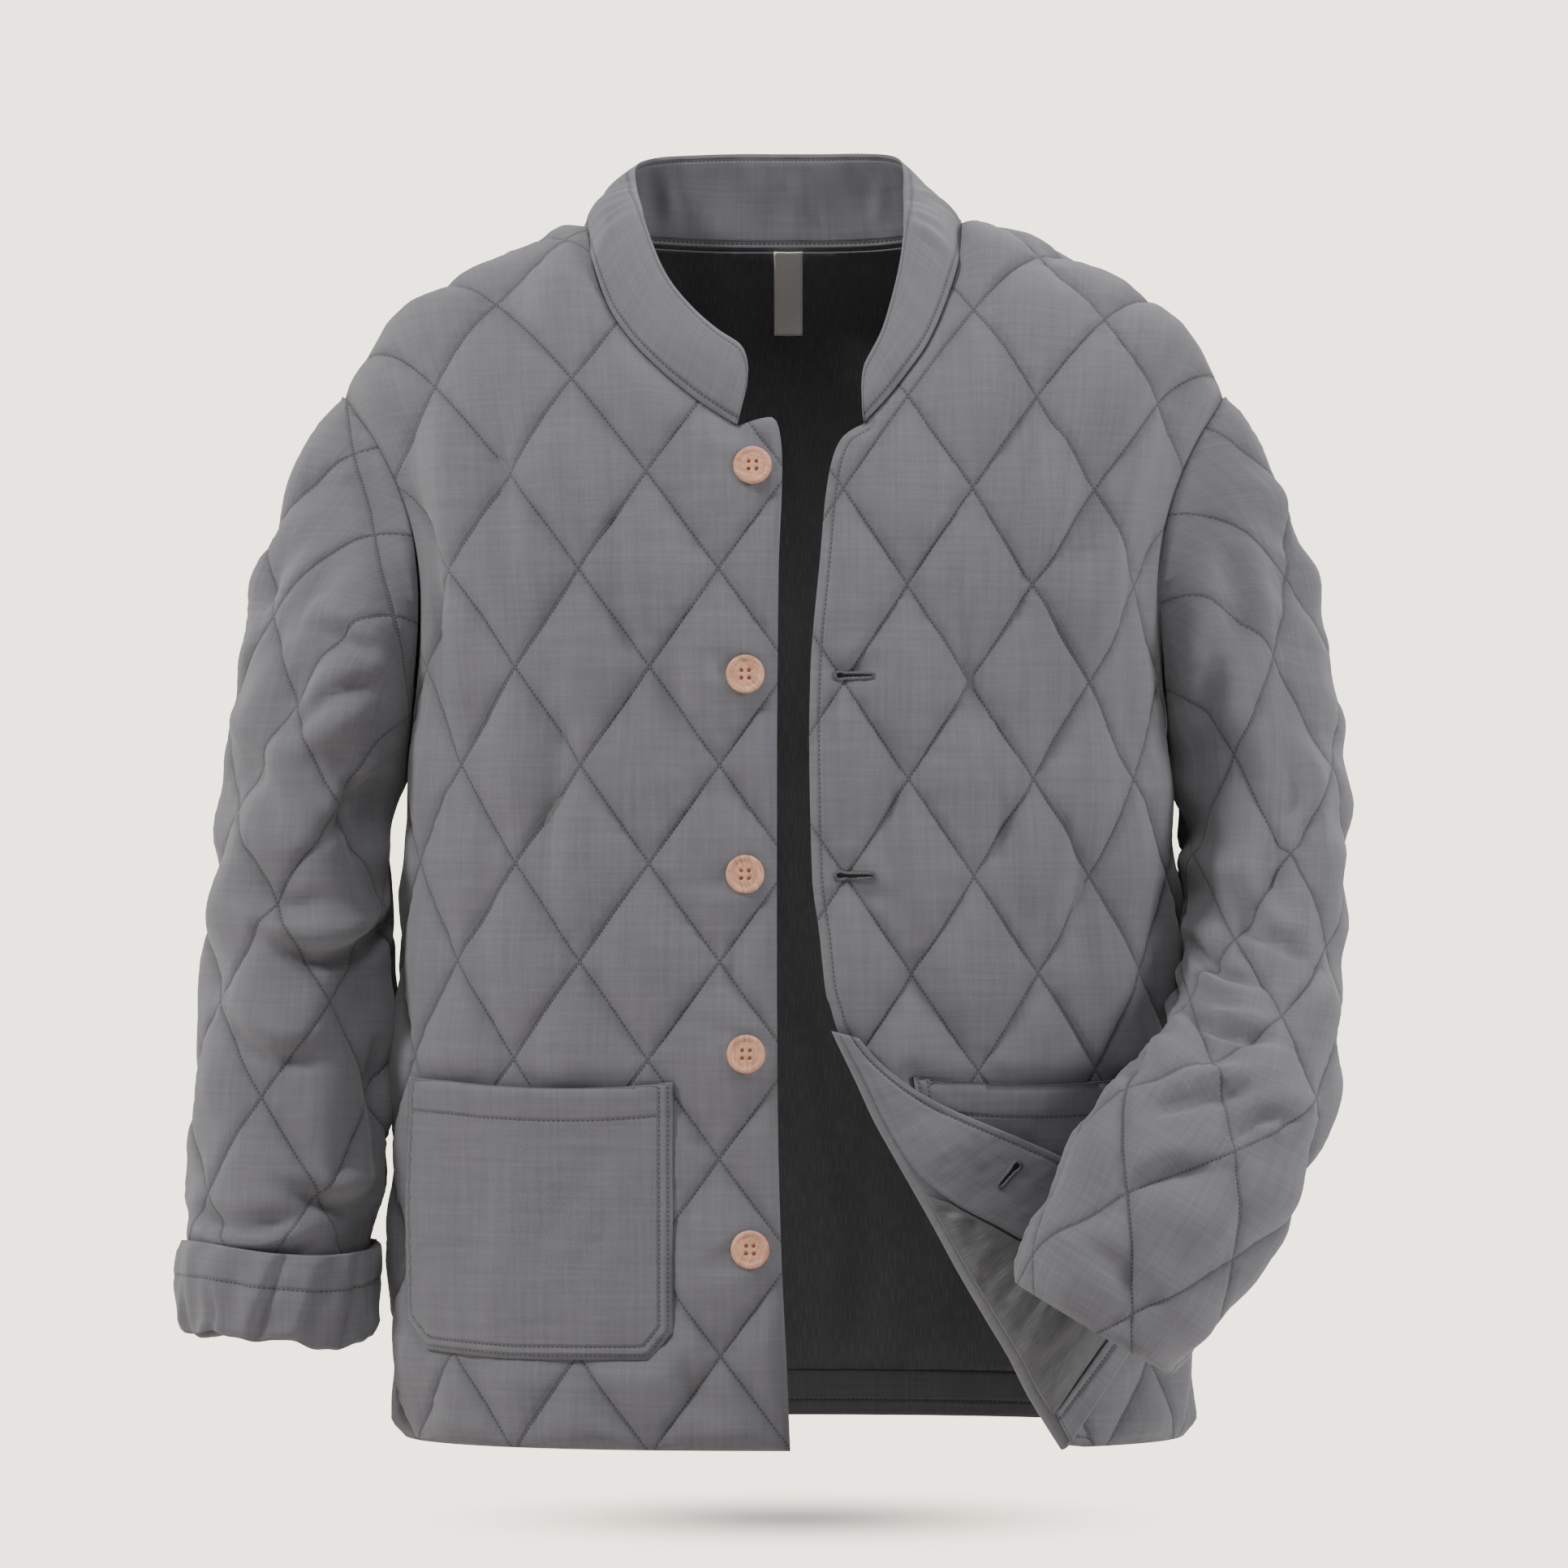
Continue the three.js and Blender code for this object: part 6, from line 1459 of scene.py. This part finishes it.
spine = joinRuns([run for _, run in spineRuns])
turnUp = insideLook["turnUp"]
first = np.nonzero(spine[:, 1] > turnUp + 5)[0][0]
foot = straightPoints([(quarter, turnUp), (3 * quarter, turnUp)])
liningOutline = np.concatenate([foot, spine[first:][spine[first:][:, 1] > turnUp + 5]])
liningBack = makeInside("lining_back_cloth", liningOutline, 1.0, 7, {
    "folds": insideLook["folds"], "creases": insideFolds, "edgeTop": 500}, [liningCloth], 141)
place(liningBack, "lining_back", "lining")
hemOutline = joinRuns([straightPoints([(quarter, 0), (3 * quarter, 0)]),
                       straightPoints([(3 * quarter, 0), (3 * quarter, turnUp - 0.4)]),
                       straightPoints([(3 * quarter, turnUp - 0.4), (quarter, turnUp - 0.4)]),
                       straightPoints([(quarter, turnUp - 0.4), (quarter, 0)])])
hemBack = makeInside("hem_facing_back_cloth", hemOutline, 1.2, 5, {
    "folds": 0.5, "creases": [], "edgeTop": 17}, [bandCloth], 147)
place(hemBack, "hem_facing_back", "outer_cloth")

labelLook = {"left": -6, "right": 11, "top": -10, "bottom": -58}


def makeLabel():
    material, tree, shader = startMaterial("paleTape", 0.75, sheen=0.2, sheenRoughness=0.5, specular=0.25)
    cloth = uvOf(tree, "cloth")
    ribs = noiseAt(tree, cloth, (300, 2600, 0), 2.0)
    colour = blended(tree, mapped(tree, ribs, 0.35, 0.7), (0.78, 0.75, 0.72, 1), (0.88, 0.86, 0.83, 1))
    wear = noiseAt(tree, cloth, (260, 260, 0), 3.0)
    tree.links.new(blended(tree, mapped(tree, wear, 0.62, 0.8, 0, 0.35), colour, (0.60, 0.58, 0.55, 1)),
                   shader.inputs["Base Color"])
    bumpTo(tree, shader, ribs, 0.00015, 0.7)
    x = np.linspace(labelLook["left"], labelLook["right"], 10)
    z = np.linspace(labelLook["top"], labelLook["bottom"], 26)
    gx, gz = np.meshgrid(x, z, indexing="ij")
    cloth = clothAt(gx.ravel(), gz.ravel(), False)
    points, normals = bodyPoints(cloth[:, 0], cloth[:, 1]), bodyNormals(cloth[:, 0], cloth[:, 1])
    part = (labelLook["top"] - gz.ravel()) / (labelLook["top"] - labelLook["bottom"])
    lift = insideLook["near"] + 2.2 + 3.2 * part ** 1.5 + 0.5 * np.sin(part * 7) + 0.5 * np.cos((gx.ravel() - 2) / 6)
    grid = (*gx.shape, 3)
    outer = (points - normals * (lift + 0.6)[:, None]).reshape(grid)
    inner = (points - normals * lift[:, None]).reshape(grid)
    uv = metres(np.stack([gx, gz], -1))
    return gridPiece("neck_label_tape", outer, inner, False, [("cloth", uv)], [material])


label = place(makeLabel(), "neck_label", "label")
print("inside made")

# Buttons: turned wood, a raised rim round a dished middle and four holes
buttonLook = {"radius": 11, "thick": 3.6, "dish": 0.9, "hole": 1.15, "holeOut": 2.2}
buttonPlaces = [(-18, -150), (-22, -268), (-22, -382), (-21, -484), (-19, -595)]


def makeWood():
    material, tree, shader = startMaterial("turnedWood", 0.55, specular=0.35)
    grain = uvOf(tree, "cloth")
    lines = noiseAt(tree, grain, (90, 1400, 0), 4.0, 0.6)
    broad = noiseAt(tree, grain, (60, 330, 0), 3.0, 0.55, (3.3, 1.7, 0))
    pores = mapped(tree, noiseAt(tree, grain, (500, 2600, 0), 1.0), 0.62, 0.72)
    colour = blended(tree, mapped(tree, broad, 0.35, 0.65), (0.44, 0.215, 0.135, 1), (0.64, 0.35, 0.235, 1))
    colour = blended(tree, mapped(tree, lines, 0.45, 0.75), colour, (0.31, 0.14, 0.085, 1))
    colour = blended(tree, maths(tree, "MULTIPLY", pores, 0.6), colour, (0.14, 0.06, 0.04, 1))
    tree.links.new(colour, shader.inputs["Base Color"])
    tree.links.new(mapped(tree, lines, 0.3, 0.7, 0.45, 0.68), shader.inputs["Roughness"])
    bumpTo(tree, shader, maths(tree, "SUBTRACT", lines, pores), 0.0002, 0.7)
    return material


def makePlain(name, colour, roughness, scale):
    material, tree, shader = startMaterial(name, roughness, specular=0.2)
    source = addNode(tree, "ShaderNodeTexCoord").outputs["Object"]
    twist = noiseAt(tree, source, (scale, scale, scale), 2.0)
    dark = tuple(c * 0.6 for c in colour[:3]) + (1,)
    tree.links.new(blended(tree, twist, dark, colour), shader.inputs["Base Color"])
    bumpTo(tree, shader, twist, 0.0002, 0.6)
    return material


woodLook = makeWood()
# near-black sheet of painted shade for the buttonhole slits
slitShadeLook = makePlain("slitShadow", (0.012, 0.012, 0.013, 1), 0.95, 900)
holeThread = makePlain("buttonholeThread", (0.115, 0.112, 0.122, 1), 0.85, 2200)


def frameOn(x, z, off=0.0):
    # centre, right, up and outward directions of a place on the front
    cloth = clothAt(x, z)
    centre, normal = bodyPoints(cloth[:, 0], cloth[:, 1])[0], bodyNormals(cloth[:, 0], cloth[:, 1])[0]
    right = unit(np.cross([0, 0, 1.0], normal))
    right = right * np.sign(right[0])
    upward = unit(np.cross(normal, right))
    upward = upward * np.sign(upward[2])
    return centre + normal * off, right, upward, normal


def surfaceTop(piece, centre, axes, radius):
    # highest point of a piece under a round seat
    count = len(piece.data.vertices)
    points = np.zeros(count * 3)
    piece.data.vertices.foreach_get("co", points)
    local = points.reshape(-1, 3) * 1000 - centre
    right, upward, normal = axes
    a, b, c = local @ right, local @ upward, local @ normal
    near = (a * a + b * b < radius * radius) & (np.abs(c) < 15)
    return c[near].max() if near.any() else 0.0


def makeButton(index, x, z):
    centre, right, upward, normal = frameOn(x, z)
    seat = surfaceTop(frontRight, centre, (right, upward, normal), buttonLook["radius"]) - 1.6
    tilt = [0.03, -0.02, 0.025, -0.03, 0.02][index]
    radius = buttonLook["radius"]
    rings = np.concatenate([np.linspace(0, 0.78, 34), np.linspace(0.8, 1, 12)]) * radius
    spokes = 120
    turn = np.linspace(0, 2 * math.pi, spokes + 1)[:-1]
    r, a = np.meshgrid(rings, turn, indexing="ij")
    px, py = r * np.cos(a), r * np.sin(a)
    part = r / radius
    top = buttonLook["thick"] - buttonLook["dish"] * (1 - smoothStep(part, 0.66, 0.84))
    top = top - 1.5 * np.clip((part - 0.9) / 0.1, 0, 1) ** 2
    top = top - 0.12 * gauss((part - 0.62) / 0.03)
    for k in range(4):
        hx = buttonLook["holeOut"] * (1 if k % 2 else -1)
        hy = buttonLook["holeOut"] * (1 if k < 2 else -1)
        gap = np.hypot(px - hx, py - hy)
        top = top - 2.2 * (1 - smoothStep(gap, buttonLook["hole"] * 0.72, buttonLook["hole"] * 1.1)) \
            - 0.15 * gauss((gap - buttonLook["hole"] * 1.2) / 0.4)
    low = 0.5 + 1.2 * np.clip((part - 0.75) / 0.25, 0, 1) ** 2
    top = np.maximum(top, low + 0.3)

    def spread(height):
        return centre + px[..., None] * right + py[..., None] * upward \
            + (height + seat + tilt * px + tilt * py)[..., None] * normal

    outer, inner = spread(top), spread(low)
    outer[0], inner[0] = outer[0].mean(axis=0), inner[0].mean(axis=0)
    lean = 0.35 + 0.4 * index
    uv = np.stack([px * math.cos(lean) - py * math.sin(lean), px * math.sin(lean) + py * math.cos(lean)], -1)
    uv = metres(uv) + np.array([0.13 * index, 0.07 * index])
    wood = gridPiece(f"button_{index + 1}_wood", outer.transpose(1, 0, 2), inner.transpose(1, 0, 2), True,
                     [("cloth", uv.transpose(1, 0, 2))], [woodLook])
    place(wood, f"button_{index + 1}", "buttons")


for number, spot in enumerate(buttonPlaces):
    makeButton(number, *spot)
print("buttons made")

# Stitched buttonholes: a ring of thread wraps round a dark slit, a near-black sheet of painted shade, keyhole end to
# the edge
holeLook = {"half": 1.5, "eye": 2.5, "thread": 0.62, "wraps": 46}


def makeButtonhole(name, carrier, start, end, lift):
    cloth = clothAt([start[0], end[0]], [start[1], end[1]])
    middle = ((start[0] + end[0]) / 2, (start[1] + end[1]) / 2)
    centre, right, upward, normal = frameOn(*middle)
    way = bodyPoints(cloth[1:, 0], cloth[1:, 1])[0] - bodyPoints(cloth[:1, 0], cloth[:1, 1])[0]
    way = unit(way - normal * (way @ normal))
    across = unit(np.cross(normal, way))
    half = np.linalg.norm(np.subtract(end, start)) / 2
    count = 150
    turn = np.linspace(0, 2 * math.pi, count + 1)[:-1]
    px = half * np.sign(np.cos(turn)) * np.abs(np.cos(turn)) ** 0.75
    py = holeLook["half"] * np.sign(np.sin(turn)) * np.abs(np.sin(turn)) ** 0.5
    py = py + np.sign(py) * (holeLook["eye"] - holeLook["half"]) * gauss((px + half - 2.4) / 2.6)
    level = surfaceAlong(carrier, centre, way, across, normal, px, py) + lift
    wrap = 1 + 0.28 * np.sin(turn * holeLook["wraps"])
    tangent = unit(np.stack([np.gradient(px), np.gradient(py)], -1))
    vertices, faces = [], []
    for k in range(count):
        for n in range(8):
            angle = n / 8 * 2 * math.pi
            size = holeLook["thread"] * wrap[k]
            side = size * 1.5 * math.cos(angle)
            x, y = px[k] + side * tangent[k, 1], py[k] - side * tangent[k, 0]
            vertices.append(centre + way * x + across * y + normal * (level[k] + size * math.sin(angle)))
    for k in range(count):
        m = (k + 1) % count
        for n in range(8):
            o = (n + 1) % 8
            faces.append((k * 8 + n, k * 8 + o, m * 8 + o, m * 8 + n))
    ring = addMesh(name + "_stitches", np.array(vertices), faces, [], [holeThread])
    place(ring, None, "outer_cloth")
    # the slit between the two rows: a near-black sheet of painted shade
    slit = np.array([centre + way * x + across * y * 0.75 + normal * (h + 0.12)
                     for x, y, h in zip(px, py, level)])
    floor = slit - normal * 0.5
    loop = list(range(count))
    faces = [loop, [k + count for k in loop][::-1]]
    faces += [(k, k + count, (k + 1) % count + count, (k + 1) % count) for k in loop]
    dark = addMesh(name + "_slit_shade", np.concatenate([slit, floor]), faces, [], [slitShadeLook])
    place(dark, None, "outer_cloth")


def surfaceAlong(piece, centre, way, across, normal, px, py):
    points = np.zeros(len(piece.data.vertices) * 3)
    piece.data.vertices.foreach_get("co", points)
    local = points.reshape(-1, 3) * 1000 - centre
    a, b, c = local @ way, local @ across, local @ normal
    near = (np.abs(a) < 20) & (np.abs(b) < 10) & (np.abs(c) < 14)
    a, b, c = a[near], b[near], c[near]
    out = np.zeros(len(px))
    for k in range(len(px)):
        gap = np.hypot(a - px[k], b - py[k])
        pick = gap < 3.2
        out[k] = c[pick].max() if pick.any() else 0.0
    return np.convolve(np.concatenate([out[-4:], out, out[:4]]), np.ones(9) / 9, "valid")


makeButtonhole("buttonhole_1", frontLeft, (29, -268.7), (51, -268.7), 0.1)
makeButtonhole("buttonhole_2", frontLeft, (29, -382.8), (51, -382.8), 0.1)
makeButtonhole("buttonhole_3", facing, (131, -546), (119, -560), 0.1)
print("buttonholes made")

# Studio: pale floor that melts into an even pale surround, with a painted shadow under the jacket, large soft lights
studio = {"pale": (3.5, 3.2, 2.65, 1), "floorLevel": -0.762, "ambient": 0.14,
          "shadowPlace": (0.006, 0.02, 0), "shadowReach": 0.24, "shadowDepth": 0.95}


def cameraOnly(tree, out, seen, unseen):
    # one shader for the camera, another for the light that bounces
    path = addNode(tree, "ShaderNodeLightPath")
    mix = addNode(tree, "ShaderNodeMixShader")
    tree.links.new(path.outputs["Is Camera Ray"], mix.inputs[0])
    tree.links.new(unseen.outputs[0], mix.inputs[1])
    tree.links.new(seen.outputs[0], mix.inputs[2])
    tree.links.new(mix.outputs[0], out.inputs[0])


def makeStudio():
    world = bpy.data.worlds.new("studio")
    scene.world = world
    world.use_nodes = True
    tree = world.node_tree
    seen = tree.nodes["Background"]
    seen.inputs[0].default_value = studio["pale"]
    seen.inputs[1].default_value = 1.0
    unseen = addNode(tree, "ShaderNodeBackground")
    unseen.inputs[0].default_value = (0.80, 0.79, 0.785, 1)
    unseen.inputs[1].default_value = studio["ambient"]
    cameraOnly(tree, tree.nodes["World Output"], seen, unseen)

    mesh = bpy.data.meshes.new("floor")
    corners = np.linspace(-7, 7, 29)
    vertices = [(x, y, studio["floorLevel"]) for x in corners for y in corners]
    faces = [(a * 29 + b, a * 29 + 29 + b, a * 29 + 30 + b, a * 29 + 1 + b) for a in range(28) for b in range(28)]
    mesh.from_pydata(vertices, [], faces)
    floor = bpy.data.objects.new("floor", mesh)
    scene.collection.objects.link(floor)
    material, tree, shader = startMaterial("paleFloor", 0.9, specular=0.0)
    shader.inputs["Base Color"].default_value = (0.80, 0.775, 0.735, 1)
    # painted shadow: the floor's glow for the camera darkens in a soft disc under the jacket
    spot = addNode(tree, "ShaderNodeVectorMath", operation="SUBTRACT")
    tree.links.new(addNode(tree, "ShaderNodeTexCoord").outputs["Object"], spot.inputs[0])
    spot.inputs[1].default_value = (studio["shadowPlace"][0], studio["shadowPlace"][1], studio["floorLevel"])
    distance = addNode(tree, "ShaderNodeVectorMath", operation="LENGTH")
    tree.links.new(spot.outputs[0], distance.inputs[0])
    shade = mapped(tree, distance.outputs["Value"], 0.0, studio["shadowReach"], studio["shadowDepth"], 0.0, True)
    seen = addNode(tree, "ShaderNodeEmission")
    tree.links.new(blended(tree, shade, studio["pale"], (0.55, 0.52, 0.52, 1)), seen.inputs["Color"])
    cameraOnly(tree, tree.nodes["Material Output"], seen, shader)
    mesh.materials.append(material)


lights = [  # name, place, aim, size, watts, colour
    ("key", (-2.7, -1.6, 2.3), (0, 0, -0.35), 0.7, 158, (1.0, 0.99, 0.97)),
    ("fill", (2.9, -0.9, 0.8), (0.1, 0, -0.4), 1.2, 82, (0.985, 0.99, 1.0)),
    ("front", (0.5, -3.6, -0.2), (0, 0, -0.4), 2.2, 7, (1.0, 1.0, 1.0)),
    ("rim", (1.4, 2.4, 1.9), (0, 0, -0.3), 1.8, 75, (1.0, 0.99, 0.97)),
    ("rimLeft", (-2.2, 1.8, 1.0), (0, 0, -0.35), 1.6, 50, (1.0, 0.99, 0.98)),
    ("top", (0, -1.3, 2.1), (0, 0.1, -0.2), 0.9, 34, (1.0, 1.0, 1.0))]


def makeLights():
    for name, at, aim, size, watts, colour in lights:
        data = bpy.data.lights.new(name, "AREA")
        data.shape = "DISK"
        data.size, data.energy, data.color = size, watts, colour
        lamp = bpy.data.objects.new(name, data)
        lamp.location = at
        lamp.rotation_euler = (Vector(aim) - Vector(at)).to_track_quat("-Z", "Y").to_euler()
        scene.collection.objects.link(lamp)


makeStudio()
makeLights()
print("studio made")
